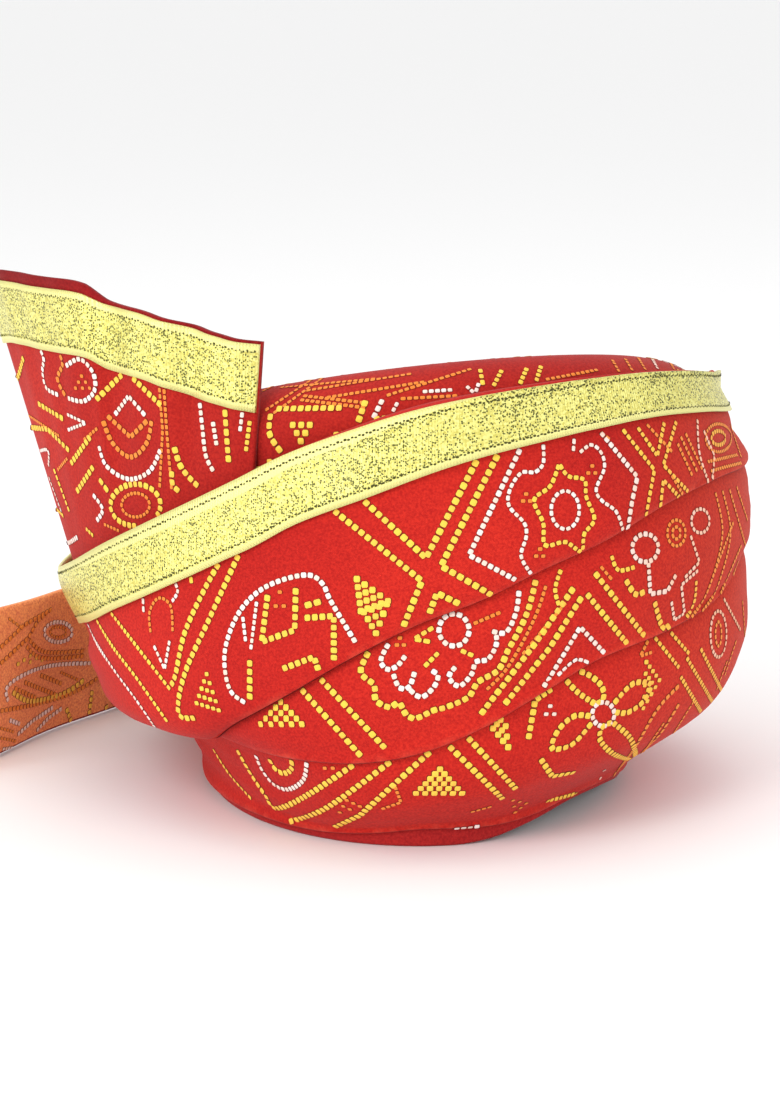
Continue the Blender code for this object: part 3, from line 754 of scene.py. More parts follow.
def material(name, roughness, metallic=0.0, sheen=0.0, specular=0.15):
    made = bpy.data.materials.new(name)
    made.use_nodes = True
    shader = made.node_tree.nodes["Principled BSDF"]
    shader.inputs["Roughness"].default_value = roughness
    shader.inputs["Metallic"].default_value = metallic
    shader.inputs["Sheen Weight"].default_value = sheen
    shader.inputs["Specular IOR Level"].default_value = specular
    return made, made.node_tree, shader


def placed(tree, group, **links):
    node = tree.nodes.new("ShaderNodeGroup")
    node.node_tree = group
    for label, value in links.items():
        if isinstance(value, (int, float)):
            node.inputs[label].default_value = value
        else:
            tree.links.new(value, node.inputs[label])
    return node


def bumped(tree, shader, height, strength, depth):
    bump = tree.nodes.new("ShaderNodeBump")
    bump.inputs["Strength"].default_value = strength
    bump.inputs["Distance"].default_value = depth
    tree.links.new(height, bump.inputs["Height"])
    tree.links.new(bump.outputs["Normal"], shader.inputs["Normal"])


def toward(tree, coordinates, start, end, most):
    """Grows across the turban from one X to another."""
    axes = axes_of(tree, coordinates.outputs["Object"])
    return ranged(tree, axes[0], start, end, 0.0, most)


def cotton(name, deep, bright, far, fade, yarn=0.00045, worn_and_shaded_fold=True):
    """Dyed cotton in clouds of two reds, fading to a third across the turban; weave, wear, painted edge
    shade.
    """
    made, tree, shader = material(name, 0.85, sheen=0.06)
    coordinates = tree.nodes.new("ShaderNodeTexCoord")
    dye = placed(tree, DYE, Place=coordinates.outputs["Object"])
    weave = placed(tree, WEAVE, Cloth=coordinates.outputs["UV"], Yarn=yarn)
    base = mixed(tree, dye.outputs["Cloud"], deep, bright)
    base = mixed(tree, toward(tree, coordinates, *fade), base, far)
    shade = mixed(tree, dye.outputs["Mottle"], (0.72, 0.50, 0.60), (1.12, 1.45, 1.25))
    colour = multiplied(tree, 0.8, base, shade)
    if worn_and_shaded_fold:
        worn_and_shaded = placed(tree, FOLD_WEAR_AND_SHADE, Cloth=coordinates.outputs["UV"])
        colour = mixed(tree, maths(tree, "MULTIPLY", worn_and_shaded.outputs["Worn"], 0.35), colour, (0.80, 0.12, 0.07))
        # painted shade: a dark line along each wrap's folded lower edge
        colour = mixed(tree, worn_and_shaded.outputs["Crease"], colour, (0.10, 0.004, 0.004))
    tree.links.new(colour, shader.inputs["Base Color"])
    bumped(tree, shader, weave.outputs["Height"], 0.4, 0.0002)
    return made


def tied_dots(name, fade, strength):
    """Undyed dots of the tie-dye, each with the dark ring that its tie left: yellow, white, orange."""
    made, tree, shader = material(name, 0.8, sheen=0.05)
    dye, edge, tint = (tree.nodes.new("ShaderNodeAttribute") for _ in range(3))
    dye.attribute_name = "dye"
    edge.attribute_name = "edge"
    tint.attribute_name = "tint"
    ramp = tree.nodes.new("ShaderNodeValToRGB")
    ramp.color_ramp.interpolation = "CONSTANT"
    stops = ((0.0, (0.90, 0.58, 0.07)), (0.4, (0.86, 0.74, 0.70)), (0.8, (0.78, 0.21, 0.03)))
    while len(ramp.color_ramp.elements) < len(stops):
        ramp.color_ramp.elements.new(0.5)
    for element, (position, colour) in zip(ramp.color_ramp.elements, stops, strict=True):
        element.position = position
        element.color = (*colour, 1.0)
    tree.links.new(dye.outputs["Fac"], ramp.inputs[0])
    coordinates = tree.nodes.new("ShaderNodeTexCoord")
    lively = mixed(tree, tint.outputs["Fac"], ramp.outputs[0], (0.82, 0.34, 0.08))
    lively = mixed(tree, toward(tree, coordinates, *fade, strength), lively, (0.80, 0.27, 0.06))
    ring = ranged(tree, edge.outputs["Fac"], 0.36, 0.66)
    tree.links.new(mixed(tree, ring, lively, (0.13, 0.010, 0.006)), shader.inputs["Base Color"])
    bumped(tree, shader, noise_of(tree, coordinates.outputs["Object"], 1800.0, 2.0), 0.3, 0.0002)
    return made


def lace_ground():
    """Woven lace in UV metres: how far in from its borders, its ribs, and specks of the ground."""
    group, start, end = socket_group(
        "lace ground",
        [
            ("Cloth", "NodeSocketVector", None),
            ("Place", "NodeSocketVector", None),
            ("Width", "NodeSocketFloat", 0.02),
        ],
        [(label, "NodeSocketFloat") for label in ("Border", "Rib", "Speck", "Glint")],
    )
    axes = axes_of(group, start.outputs["Cloth"])
    other = maths(group, "SUBTRACT", start.outputs["Width"], axes[1])
    inset = maths(group, "MINIMUM", axes[1], other)
    group.links.new(ranged(group, inset, 0.0029, 0.0025), end.inputs["Border"])
    rib = maths(group, "SINE", maths(group, "MULTIPLY", axes[0], 2 * math.pi / 0.0011))
    group.links.new(rib, end.inputs["Rib"])
    cells = group.nodes.new("ShaderNodeTexVoronoi")
    cells.inputs["Scale"].default_value = 1350.0
    group.links.new(start.outputs["Place"], cells.inputs["Vector"])
    shades = group.nodes.new("ShaderNodeSeparateColor")
    group.links.new(cells.outputs["Color"], shades.inputs[0])
    patches = noise_of(group, start.outputs["Place"], 55.0, 2.0)
    rare = maths(group, "GREATER_THAN", shades.outputs[0], ranged(group, patches, 0.34, 0.66, 0.40, 0.78))
    small = maths(group, "LESS_THAN", cells.outputs["Distance"], 0.50)
    group.links.new(maths(group, "MULTIPLY", rare, small), end.inputs["Speck"])
    group.links.new(shades.outputs[1], end.inputs["Glint"])
    return group


def gold_lace():
    """Woven gold lace, smooth at its borders, with dark specks where the ground shows between ribs."""
    made, tree, shader = material("gold_weave", 0.36, metallic=0.45, specular=0.5)
    shader.inputs["Coat Weight"].default_value = 0.15
    shader.inputs["Coat Roughness"].default_value = 0.25
    coordinates = tree.nodes.new("ShaderNodeTexCoord")
    lace = placed(
        tree, lace_ground(), Cloth=coordinates.outputs["UV"], Place=coordinates.outputs["Object"],
        Width=LACE_WIDTH,
    )  # fmt: skip
    metal = mixed(tree, lace.outputs["Glint"], (0.58, 0.51, 0.09), (0.84, 0.81, 0.26))
    metal = mixed(tree, lace.outputs["Border"], metal, (0.78, 0.73, 0.26))
    inside = maths(tree, "SUBTRACT", 1.0, lace.outputs["Border"])
    speck = maths(tree, "MULTIPLY", lace.outputs["Speck"], inside)
    tree.links.new(mixed(tree, speck, metal, (0.10, 0.10, 0.012)), shader.inputs["Base Color"])
    weave = placed(tree, WEAVE, Cloth=coordinates.outputs["UV"], Yarn=0.00055)
    relief = maths(tree, "MULTIPLY_ADD", lace.outputs["Rib"], 0.5, weave.outputs["Height"])
    bumped(tree, shader, relief, 0.5, 0.00025)
    return made


def dark_thread():
    made, tree, shader = material("dark_thread", 0.6)
    coordinates = tree.nodes.new("ShaderNodeTexCoord")
    twist = noise_of(tree, coordinates.outputs["Object"], 2500.0, 1.0)
    tree.links.new(mixed(tree, twist, (0.03, 0.035, 0.008), (0.10, 0.09, 0.02)), shader.inputs["Base Color"])
    return made


# ---- where the photograph's camera stands, and how a pixel of it falls on the cloth

CAMERA_FORWARD = Vector((0, math.cos(CAMERA_ELEVATION), -math.sin(CAMERA_ELEVATION)))
CAMERA_UP = Vector((0, math.sin(CAMERA_ELEVATION), math.cos(CAMERA_ELEVATION)))
CAMERA_SIDE = Vector((1, 0, 0))
AIM_SHIFT = Vector(((PHOTO_WIDTH / 2 - HEAD_PIXEL) * PIXEL, 0, AIM_RISE / math.cos(CAMERA_ELEVATION)))
AIM = Vector(HEAD) + AIM_SHIFT
CAMERA_PLACE = AIM - CAMERA_FORWARD * CAMERA_DISTANCE


def pixel_ray(x, y):
    across = (x - PHOTO_WIDTH / 2) * PIXEL
    up = (PHOTO_HEIGHT / 2 - y) * PIXEL
    return (AIM + CAMERA_SIDE * across + CAMERA_UP * up - CAMERA_PLACE).normalized()


class Cloths:
    """The finished cloth meshes together, so that a ray finds the first one in its way."""

    def __init__(self, pieces):
        points, faces, self.owners = [], [], []
        for piece in pieces:
            base = len(points)
            points += [vert.co.copy() for vert in piece.data.vertices]
            for face in piece.data.polygons:
                faces.append([base + at for at in face.vertices])
                self.owners.append(piece.name)
        self.tree = BVHTree.FromPolygons(points, faces)

    def first(self, origin, direction, wanted):
        """Where the ray meets the wanted piece, with the normal towards it, or None if hidden."""
        spot, normal, face, _ = self.tree.ray_cast(origin, direction)
        if spot is None or self.owners[face] != wanted:
            return None
        return spot, normal if normal.dot(direction) < 0 else -normal


# ---- the print: strokes of dots, in pixels of the photograph


def strokes_of(table):
    """Strokes from rows of text, each heading giving the kind, dye and weight of the rows below it.

    Kinds: line (straight runs), curve (smooth through its points), ring (centre and half sizes) and
    fill (rows of dots in a triangle, from its tip). Bold strokes have larger dots.
    """
    strokes, heading = [], ()
    for row in table.strip().splitlines():
        if row.startswith(" "):
            strokes.append((*heading, tuple(tuple(map(float, pixel.split(","))) for pixel in row.split())))
        else:
            heading = row.split()
    return strokes


UPPER_PRINT = strokes_of(
    """
line yellow bold
    360,497 426,558 478,458
    331,508 422,581 403,627
    498,454 441,566 492,595
    429,614 437,593 460,604
line white bold
    521,447 497,497 469,555 516,580
    600,432 637,477 632,500 627,531 600,546
curve white fine
    543,444 543,463 535,472 521,473 510,489 509,506 524,523 526,537 521,556 531,574
    579,453 591,445 601,453 604,468 596,489 601,500 616,512 623,531
line white fine
    574,438 573,452
curve yellow fine
    559,464 568,476 584,480 586,497 594,519 584,534 581,551 565,542 545,545 543,523 534,500 550,486 \
      559,464
ring white fine
    565,510 14,19
fill orange fine
    526,494 523,501 530,501
    540,549 536,556 543,556
    592,466 588,473 595,473
line yellow fine
    622,429 654,470 645,519
    637,427 657,456 664,422
    676,421 663,465 691,495
    679,497 663,480 660,507
curve white fine
    697,419 699,453 709,485
line orange fine
    680,436 697,472
    685,433 702,470
    677,443 692,476
ring orange fine
    718,438 13,14
ring yellow fine
    718,438 7,7
line orange fine
    707,462 737,455
    710,471 741,463
line white fine
    703,430 714,456 712,480
line orange fine
    730,425 741,458
    646,424 672,452
    668,470 684,497
    610,440 600,432
curve yellow bold
    241,550 210,618 185,674 179,713 196,718
    224,555 205,589 185,633 176,674 171,686
line yellow fine
    110,611 140,650 171,690
curve yellow fine
    92,611 112,645 137,678 168,722
curve white fine
    87,621 98,645 116,672 136,699 156,728
    173,578 178,591 172,602
line white fine
    143,590 144,613
    154,645 165,669 170,640
curve orange fine
    151,633 150,612 159,598 171,606 173,632
line yellow fine
    190,569 192,584
fill yellow fine
    207,674 197,703 219,710
curve white bold
    356,643 331,601 323,584 309,575 282,580 258,592 239,613 227,642 225,667 231,691 246,703
line yellow bold
    268,594 262,642 295,630 296,587
    304,606 322,601
    304,618 334,616 334,661
line white fine
    257,601 251,650
    243,616 246,642
line yellow bold
    250,659 250,700
    282,669 314,657 319,671
fill orange fine
    280,592 276,606 284,606
fill yellow bold
    357,579 361,611 388,601
    376,633 364,612 387,604
"""
)
MIDDLE_PRINT = strokes_of(
    """
line yellow bold
    297,684 362,757
    320,678 386,749
fill yellow bold
    281,702 261,724 302,724
line yellow bold
    202,738 250,707
line yellow fine
    196,727 218,716
curve white bold
    389,643 381,660 387,669 397,666 406,655
    393,673 399,687 409,687 415,671
    409,689 421,697 433,688 438,676 431,670
    456,666 449,677 459,686 471,675 476,662 488,659 496,645 496,634
    491,631 506,632 516,612 519,590
ring white bold
    454,630 15,16
line yellow fine
    434,627 414,639 431,642
    439,652 424,667
    460,650 474,656
line orange fine
    473,624 501,612
fill orange fine
    400,638 397,645 404,645
curve yellow bold
    369,651 361,672 374,685 376,700 389,707 399,703 406,714 416,718 434,710 446,707 468,697 478,682 \
      498,670 508,650 518,632 528,610 536,579
line yellow bold
    480,715 536,642 574,587
    504,705 550,647 582,596
curve yellow fine
    561,569 555,589 559,606
line yellow bold
    586,593 628,645
    594,572 645,637
line white bold
    543,688 580,627 605,654
curve white fine
    557,676 575,660 589,663
ring white bold
    645,548 13,14
line white bold
    648,562 650,594 667,591 676,574
line white fine
    671,601 674,620 684,613 681,585 698,570
ring white fine
    700,521 9,12
curve yellow fine
    611,555 618,570 635,567
curve yellow bold
    625,579 635,594 645,591
    654,601 662,627 670,625
ring orange fine
    676,533 9,13
curve yellow fine
    696,580 694,601 686,618
curve orange fine
    715,492 722,535 708,589 690,619
    722,490 730,535 716,589 700,613
line orange fine
    729,489 745,545
    736,486 747,520
    741,545 720,594
    733,522 706,594
    738,560 727,592
ring orange fine
    676,533 4,6
line white fine
    690,535 699,562 684,578
line orange fine
    600,566 612,580
    522,655 566,602
curve orange fine
    486,690 504,672 521,645 537,612 546,585
"""
)
LOWER_PRINT = strokes_of(
    """
curve yellow bold
    289,822 324,809 366,780 409,747
line yellow bold
    334,827 360,815 443,740 503,799
curve yellow bold
    237,749 252,775 265,794 277,808 309,794 362,759
line yellow bold
    460,729 516,789
curve yellow fine
    213,748 229,773 252,799
fill orange fine
    513,800 515,812 526,803
curve white bold
    256,755 262,769 274,784 289,789 304,779 307,759
curve yellow bold
    269,758 276,769 285,773 292,768 291,757
fill orange fine
    329,760 325,768 333,768
fill yellow bold
    440,769 416,793 462,793
    503,705 488,722 508,747
ring white bold
    603,714 11,12
curve yellow bold
    595,704 575,690 562,672 582,672 600,684 603,698 595,704
    613,704 632,684 650,684 644,700 628,712 614,712
    612,722 630,738 634,758 614,754 600,740 602,727 612,722
    592,722 572,744 552,748 558,730 574,716 591,716
fill white fine
    550,706 546,714 554,714
    604,770 600,778 608,778
line yellow bold
    540,758 552,776 575,772
    528,740 535,700 552,688
fill yellow fine
    646,662 659,680 643,708
line yellow fine
    654,637 679,668
    670,632 689,654
curve orange bold
    679,685 657,709 634,748 607,783
    679,703 661,732 643,751 623,776
line yellow fine
    680,676 705,719
    686,657 714,705
    700,648 723,694
ring white fine
    718,634 8,23
ring orange fine
    718,634 3,12
line white fine
    723,598 740,630
line orange fine
    727,660 716,690
    736,640 724,676
    742,600 745,640
    664,722 640,757
    694,700 672,735
    648,640 640,656 652,652
    381,809 401,802 395,786
    470,812 492,806
fill orange fine
    347,800 340,812 360,806
curve yellow fine
    546,801 566,796 589,789
curve white fine
    385,838 430,831 480,826
"""
)
FAN_PRINT = strokes_of(
    """
curve yellow bold
    24,357 20,372 16,384
line white fine
    14,387 30,450 47,520
curve white bold
    38,345 44,358 43,372 47,388 59,395
curve orange bold
    56,347 63,363 58,379 66,396
curve white bold
    66,366 80,359 93,372 95,390 84,401 68,398
fill orange fine
    82,376 76,388 90,388
line yellow bold
    96,400 126,371 162,406
line white bold
    115,415 129,396 146,416
line orange bold
    107,415 131,437 148,420
curve orange bold
    103,420 113,443 131,457 147,443 152,420
curve white bold
    99,445 107,466 129,479 150,471 161,449
ring yellow bold
    136,505 25,21
ring orange fine
    136,505 14,12
line yellow bold
    38,403 64,419
    28,427 48,429 70,451
    91,436 71,464
    94,466 77,492
    99,478 109,492
line white fine
    67,414 86,423 68,430
curve white fine
    35,453 48,450 49,466
curve yellow fine
    42,478 50,500 64,516
line yellow fine
    54,468 70,512
line white fine
    49,476 62,512
curve white bold
    93,494 103,509 97,521
line orange fine
    164,384 167,430 172,490
    159,378 163,430 160,488
curve yellow bold
    174,446 182,468 199,487
    172,470 173,484 180,492
curve white bold
    200,402 203,430 206,455 214,472
line white bold
    213,421 217,446
line yellow bold
    225,407 227,437 229,463
line white fine
    243,407 240,432
line yellow fine
    250,420 246,452
curve white bold
    58,534 67,543 78,537
line yellow fine
    86,528 94,536
line orange fine
    104,524 120,531
    24,412 60,436
    58,470 68,458
    84,440 98,428
"""
)
CROWN_PRINT = strokes_of(
    """
curve yellow bold
    250,420 249,436 252,450
    271,413 270,434 282,453
line yellow bold
    276,409 343,408
fill yellow bold
    301,441 293,425 310,425
line yellow bold
    366,400 358,423
line white bold
    383,399 373,419
line white fine
    398,402 391,415
line orange fine
    265,411 318,376
    273,414 330,373
    303,396 365,403
    300,400 366,408
    280,388 376,379
    306,391 412,374
    326,398 425,382
    386,396 472,369
    400,399 458,396
    262,392 286,380
line white fine
    422,392 453,390
    466,386 475,394 479,383
line yellow fine
    480,369 483,386
    502,370 493,387
    527,368 519,386
    541,366 536,382
line orange fine
    545,380 598,370
    612,360 620,374
    625,359 634,374
    638,358 647,373
line white fine
    651,357 659,372
line orange fine
    666,355 674,370
    680,353 689,369
    694,355 702,369
"""
)
# Crown seen from above and one cell of the lattice that is printed there, in pixels from its middle
LATTICE_CELL = strokes_of(
    """
line yellow bold
    -120,0 0,-110 120,0 0,110 -120,0
    -104,0 0,-95 104,0 0,95 -104,0
ring white bold
    0,0 13,17
curve yellow fine
    0,-42 12,-27 33,-22 27,0 33,22 12,27 0,42 -12,27 -33,22 -27,0 -33,-22 -12,-27 0,-42
curve white fine
    0,-70 16,-50 44,-40 50,-14 72,0 50,14 44,40 16,50 0,70 -16,50 -44,40 -50,14 -72,0 -50,-14 -44,-40 \
      -16,-50 0,-70
fill orange fine
    -88,0 -76,-9 -76,9
    88,0 76,-9 76,9
ring yellow bold
    120,110 24,20
ring white bold
    120,110 11,9
curve white bold
    76,110 88,82 120,72 152,82 164,110
curve orange fine
    82,126 96,144 120,150 144,144 158,126
fill yellow bold
    120,30 104,54 136,54
line orange fine
    50,84 96,128
    190,84 144,136
"""
)
LATTICE_STEP = (240, 220)
# Round the crown's wall: one repeat, in pixels along it and down from its shoulder
CROWN_WALL_PRINT = strokes_of(
    """
line yellow bold
    0,18 90,18
    0,28 90,28
fill yellow bold
    22,68 6,46 38,46
curve white bold
    44,70 50,50 64,42 78,50 84,70
curve orange fine
    52,72 58,60 64,56 70,60 76,72
line orange fine
    0,84 22,98 44,84 66,98 90,84
"""
)
CROWN_WALL_REPEATS = 20
# The tail's free end as the photograph shows it, and the rest spread flat, in pixels from the lower
# corner of the free end, towards the root and up
TAIL_END_PRINT = strokes_of(
    """
line orange bold
    0,648 24,625 52,609
    0,664 28,638 37,622 48,611
line orange fine
    8,618 22,628
ring white bold
    58,632 14,10
ring orange fine
    58,632 8,5
curve orange bold
    29,640 45,652 84,651
    26,646 42,658 84,656
fill yellow fine
    30,656 18,664 42,660
curve white bold
    8,702 7,687 27,673 54,665 92,663
line orange bold
    14,688 36,698
    24,682 56,695
    40,675 62,684
line orange fine
    60,672 78,680
curve yellow bold
    12,692 30,701 62,694 84,680
curve orange bold
    0,711 36,704 72,693 98,678
line white bold
    17,735 32,721 53,707
    36,731 48,718 62,708
    9,720 20,724
line yellow bold
    66,708 72,724
    92,690 88,722
    106,704 107,718
line orange fine
    0,728 14,732
    0,738 16,741
curve white fine
    2,749 28,744 56,734
"""
)
TAIL_PRINT = strokes_of(
    """
line yellow bold
    0,78 36,112 66,146
    0,60 44,98 88,146
line orange bold
    28,146 58,114 104,108 150,122
    46,146 66,124 104,118 150,134
ring white bold
    100,136 14,8
curve white bold
    24,42 20,60 44,84 84,98 132,94
curve yellow bold
    30,50 60,44 96,52 126,82
line orange bold
    34,58 56,76
    50,54 80,84
    70,54 100,84
line orange fine
    92,60 116,84
curve orange bold
    0,30 40,34 90,40 150,30
line white bold
    16,10 34,22 56,34
    36,10 54,22 72,32
line yellow bold
    84,12 88,34
    104,10 108,34
    122,10 124,30
    138,10 138,26
fill orange fine
    132,72 120,50 146,50
fill yellow fine
    10,120 4,140 22,136
line white fine
    0,8 150,8
"""
)
TAIL_REPEAT = 150
DYES = {"yellow": 0.0, "white": 0.5, "orange": 1.0}


def curve_through(points, steps=8):
    """A smooth run of pixels through the points."""
    ends = [points[0], *points, points[-1]]
    run = []
    for a, b, c, d in zip(ends, ends[1:], ends[2:], ends[3:], strict=False):
        for step in range(steps):
            t = step / steps
            pixel = []
            for p, q, r, s in zip(a, b, c, d, strict=True):
                bend, twist = 2 * p - 5 * q + 4 * r - s, 3 * q - p - 3 * r + s
                pixel.append(0.5 * (2 * q + (r - p) * t + bend * t * t + twist * t**3))
            run.append(tuple(pixel))
    return [*run, points[-1]]


def stroke_runs(kind, points):
    """Runs of pixels that a stroke's dots follow. A single pixel is a dot of its own."""
    if kind == "line":
        return [[a, b] for a, b in zip(points, points[1:], strict=False)]
    if kind == "curve":
        return [curve_through(points)]
    if kind == "ring":
        (x, y), (wide, high) = points
        turns = [2 * math.pi * step / 32 for step in range(33)]
        return [[(x + wide * math.cos(turn), y + high * math.sin(turn)) for turn in turns]]
    tip, left, right = (np.array(point, float) for point in points[:3])
    side = float(np.linalg.norm(right - left) + np.linalg.norm((left + right) / 2 - tip)) / 2
    rows = max(2, round(side / 7.5) + 1)
    spots = []
    for row in range(rows):
        for spot in range(row + 1):
            base = left + (right - left) * (spot / row if row else 0.5)
            spots.append([tuple(tip + (base - tip) * row / (rows - 1))])
    return spots


def dots_on(strokes, on_cloth):
    """Dots along the strokes: (place, normal, direction, dye, length, breadth)."""
    dots = []
    for kind, dye, weight, points in strokes:
        pitch, breadth = DOT_SIZES[dye, weight]
        for run in stroke_runs(kind, points):
            if len(run) == 1:
                x, y = run[0]
                here, beside = on_cloth(x, y), on_cloth(x + 2, y)
                if here and beside:
                    dots.append((here[0], here[1], beside[0] - here[0], DYES[dye], pitch, breadth))
                continue
            dots += dots_in_row(run, on_cloth, pitch, (DYES[dye], breadth))
    return dots


def dots_in_row(run, on_cloth, pitch, look):
    fine = []
    for (x0, y0), (x1, y1) in zip(run, run[1:], strict=False):
        steps = max(1, math.ceil(math.hypot(x1 - x0, y1 - y0) / 1.5))
        fine += [(x0 + (x1 - x0) * step / steps, y0 + (y1 - y0) * step / steps) for step in range(steps)]
    fine.append(run[-1])
    dots, stretch = [], []
    for pixel in [*fine, None]:
        spot = on_cloth(*pixel) if pixel else None
        if spot and (not stretch or (spot[0] - stretch[-1][0]).length < 0.006):
            stretch.append(spot)
            continue
        dots += spread_dots(stretch, pitch, look)
        stretch = [spot] if spot else []
    return dots


def spread_dots(stretch, pitch, look):
    """Even dots along one unbroken stretch of places on the cloth."""
    if len(stretch) < 2:
        return []
    lengths = [0.0]
    for (before, _), (after, _) in zip(stretch, stretch[1:], strict=False):
        lengths.append(lengths[-1] + (after - before).length)
    count = round(lengths[-1] / pitch)
    if count < 1:
        return []
    dye, breadth = look
    dots, at = [], 0
    for dot in range(count):
        wanted = lengths[-1] * (dot + 0.5) / count
        while at < len(lengths) - 2 and lengths[at + 1] < wanted:
            at += 1
        share = (wanted - lengths[at]) / max(1e-9, lengths[at + 1] - lengths[at])
        (a, normal_a), (b, normal_b) = stretch[at], stretch[at + 1]
        facing = (normal_a + normal_b).normalized()
        dots.append((a.lerp(b, share), facing, b - a, dye, lengths[-1] / count, breadth))
    return dots


def dot_tile():
    """One dot: a soft-cornered tile one unit square, domed, whose rim attribute edge is 1."""
    corners = [(1, 0.55), (0.7, 0.96), (-0.7, 0.96), (-1, 0.55)]
    corners += [(-x, -y) for x, y in corners]
    points = [(x * 0.50, y * 0.50, -0.06) for x, y in corners]
    points += [(x * 0.36, y * 0.42, 0.045) for x, y in corners]
    points.append((0, 0, 0.075))
    faces = [[at, (at + 1) % 8, 8 + (at + 1) % 8, 8 + at] for at in range(8)]
    faces += [[8 + at, 8 + (at + 1) % 8, 16] for at in range(8)]
    mesh = bpy.data.meshes.new("dot tile")
    mesh.from_pydata(points, [], faces)
    mesh.shade_smooth()
    edge = mesh.attributes.new("edge", "FLOAT", "POINT")
    edge.data.foreach_set("value", [1.0] * 8 + [0.35] * 8 + [0.0])
    return bpy.data.objects.new("dot tile", mesh)


def laying_tree(name, tile, finish):
    """Geometry Nodes: lays a tile on each point, along its row and facing out of the cloth."""
    tree = bpy.data.node_groups.new(name, "GeometryNodeTree")
    tree.interface.new_socket(name="Geometry", in_out="INPUT", socket_type="NodeSocketGeometry")
    for label, value in (("Size", 1.0), ("Size spread", 0.1), ("Tint spread", 0.3)):
        made = tree.interface.new_socket(name=label, in_out="INPUT", socket_type="NodeSocketFloat")
        made.default_value = value
    seed = tree.interface.new_socket(name="Seed", in_out="INPUT", socket_type="NodeSocketInt")
    seed.default_value = 7
    tree.interface.new_socket(name="Geometry", in_out="OUTPUT", socket_type="NodeSocketGeometry")
    make = tree.nodes.new
    link = tree.links.new
    start, end = make("NodeGroupInput"), make("NodeGroupOutput")
    facing, along, size, dye = (make("GeometryNodeInputNamedAttribute") for _ in range(4))
    for node, label, kind in (
        (facing, "facing", "FLOAT_VECTOR"), (along, "along", "FLOAT_VECTOR"),
        (size, "size", "FLOAT_VECTOR"), (dye, "dye", "FLOAT"),
    ):  # fmt: skip
        node.data_type = kind
        node.inputs["Name"].default_value = label
    outwards, forwards = make("FunctionNodeAlignRotationToVector"), make("FunctionNodeAlignRotationToVector")
    outwards.axis = "Z"
    link(facing.outputs["Attribute"], outwards.inputs["Vector"])
    forwards.axis = "X"
    forwards.pivot_axis = "Z"
    link(outwards.outputs["Rotation"], forwards.inputs["Rotation"])
    link(along.outputs["Attribute"], forwards.inputs["Vector"])
    spread, tint = make("FunctionNodeRandomValue"), make("FunctionNodeRandomValue")
    for node, label in ((spread, "Size spread"), (tint, "Tint spread")):
        node.data_type = "FLOAT"
        link(start.outputs["Seed"], node.inputs["Seed"])
        link(start.outputs[label], node.inputs[3])
        node.inputs[2].default_value = 0.0
    less = make("ShaderNodeMath")
    less.operation = "SUBTRACT"
    link(start.outputs["Size"], less.inputs[0])
    link(spread.outputs[1], less.inputs[1])
    scale = make("ShaderNodeVectorMath")
    scale.operation = "SCALE"
    link(size.outputs["Attribute"], scale.inputs[0])
    link(less.outputs[0], scale.inputs["Scale"])
    tile_in = make("GeometryNodeObjectInfo")
    tile_in.inputs["Object"].default_value = tile
    lay = make("GeometryNodeInstanceOnPoints")
    link(start.outputs["Geometry"], lay.inputs["Points"])
    link(tile_in.outputs["Geometry"], lay.inputs["Instance"])
    link(forwards.outputs["Rotation"], lay.inputs["Rotation"])
    link(scale.outputs[0], lay.inputs["Scale"])
    last = lay.outputs["Instances"]
    for label, value in (("dye", dye.outputs["Attribute"]), ("tint", tint.outputs[1])):
        store = make("GeometryNodeStoreNamedAttribute")
        store.data_type = "FLOAT"
        store.domain = "INSTANCE"
        store.inputs["Name"].default_value = label
        link(last, store.inputs["Geometry"])
        link(value, store.inputs["Value"])
        last = store.outputs["Geometry"]
    realize, paint = make("GeometryNodeRealizeInstances"), make("GeometryNodeSetMaterial")
    paint.inputs["Material"].default_value = finish
    link(last, realize.inputs["Geometry"])
    link(realize.outputs["Geometry"], paint.inputs["Geometry"])
    link(paint.outputs["Geometry"], end.inputs["Geometry"])
    return tree


def laid(name, tree, dots, rise, **sizes):
    """The tiles of all these dots as one plain mesh."""
    points = bpy.data.meshes.new(name + " places")
    points.from_pydata([tuple(spot + normal * rise) for spot, normal, *_ in dots], [], [])
    sizes_of = [(length, breadth, (length + breadth) / 2) for *_, length, breadth in dots]
    facings, directions = [dot[1] for dot in dots], [dot[2] for dot in dots]
    for label, vectors in (("facing", facings), ("along", directions), ("size", sizes_of)):
        made = points.attributes.new(label, "FLOAT_VECTOR", "POINT")
        made.data.foreach_set("vector", np.array([tuple(vector) for vector in vectors], np.float32).ravel())
    dye = points.attributes.new("dye", "FLOAT", "POINT")
    dye.data.foreach_set("value", [dot[3] for dot in dots])
    holder = in_scene(name + " places", points)
    layer = holder.modifiers.new("laying", "NODES")
    layer.node_group = tree
    identifiers = {item.name: item.identifier for item in tree.interface.items_tree if item.in_out == "INPUT"}
    for label, value in sizes.items():
        layer[identifiers[label.replace("_", " ")]] = value
    view = bpy.context.evaluated_depsgraph_get()
    mesh = bpy.data.meshes.new_from_object(holder.evaluated_get(view), depsgraph=view)
    mesh.name = name
    holder.modifiers.remove(layer)
    bpy.data.objects.remove(holder)
    return in_scene(name, mesh)


# ---- build the cloth

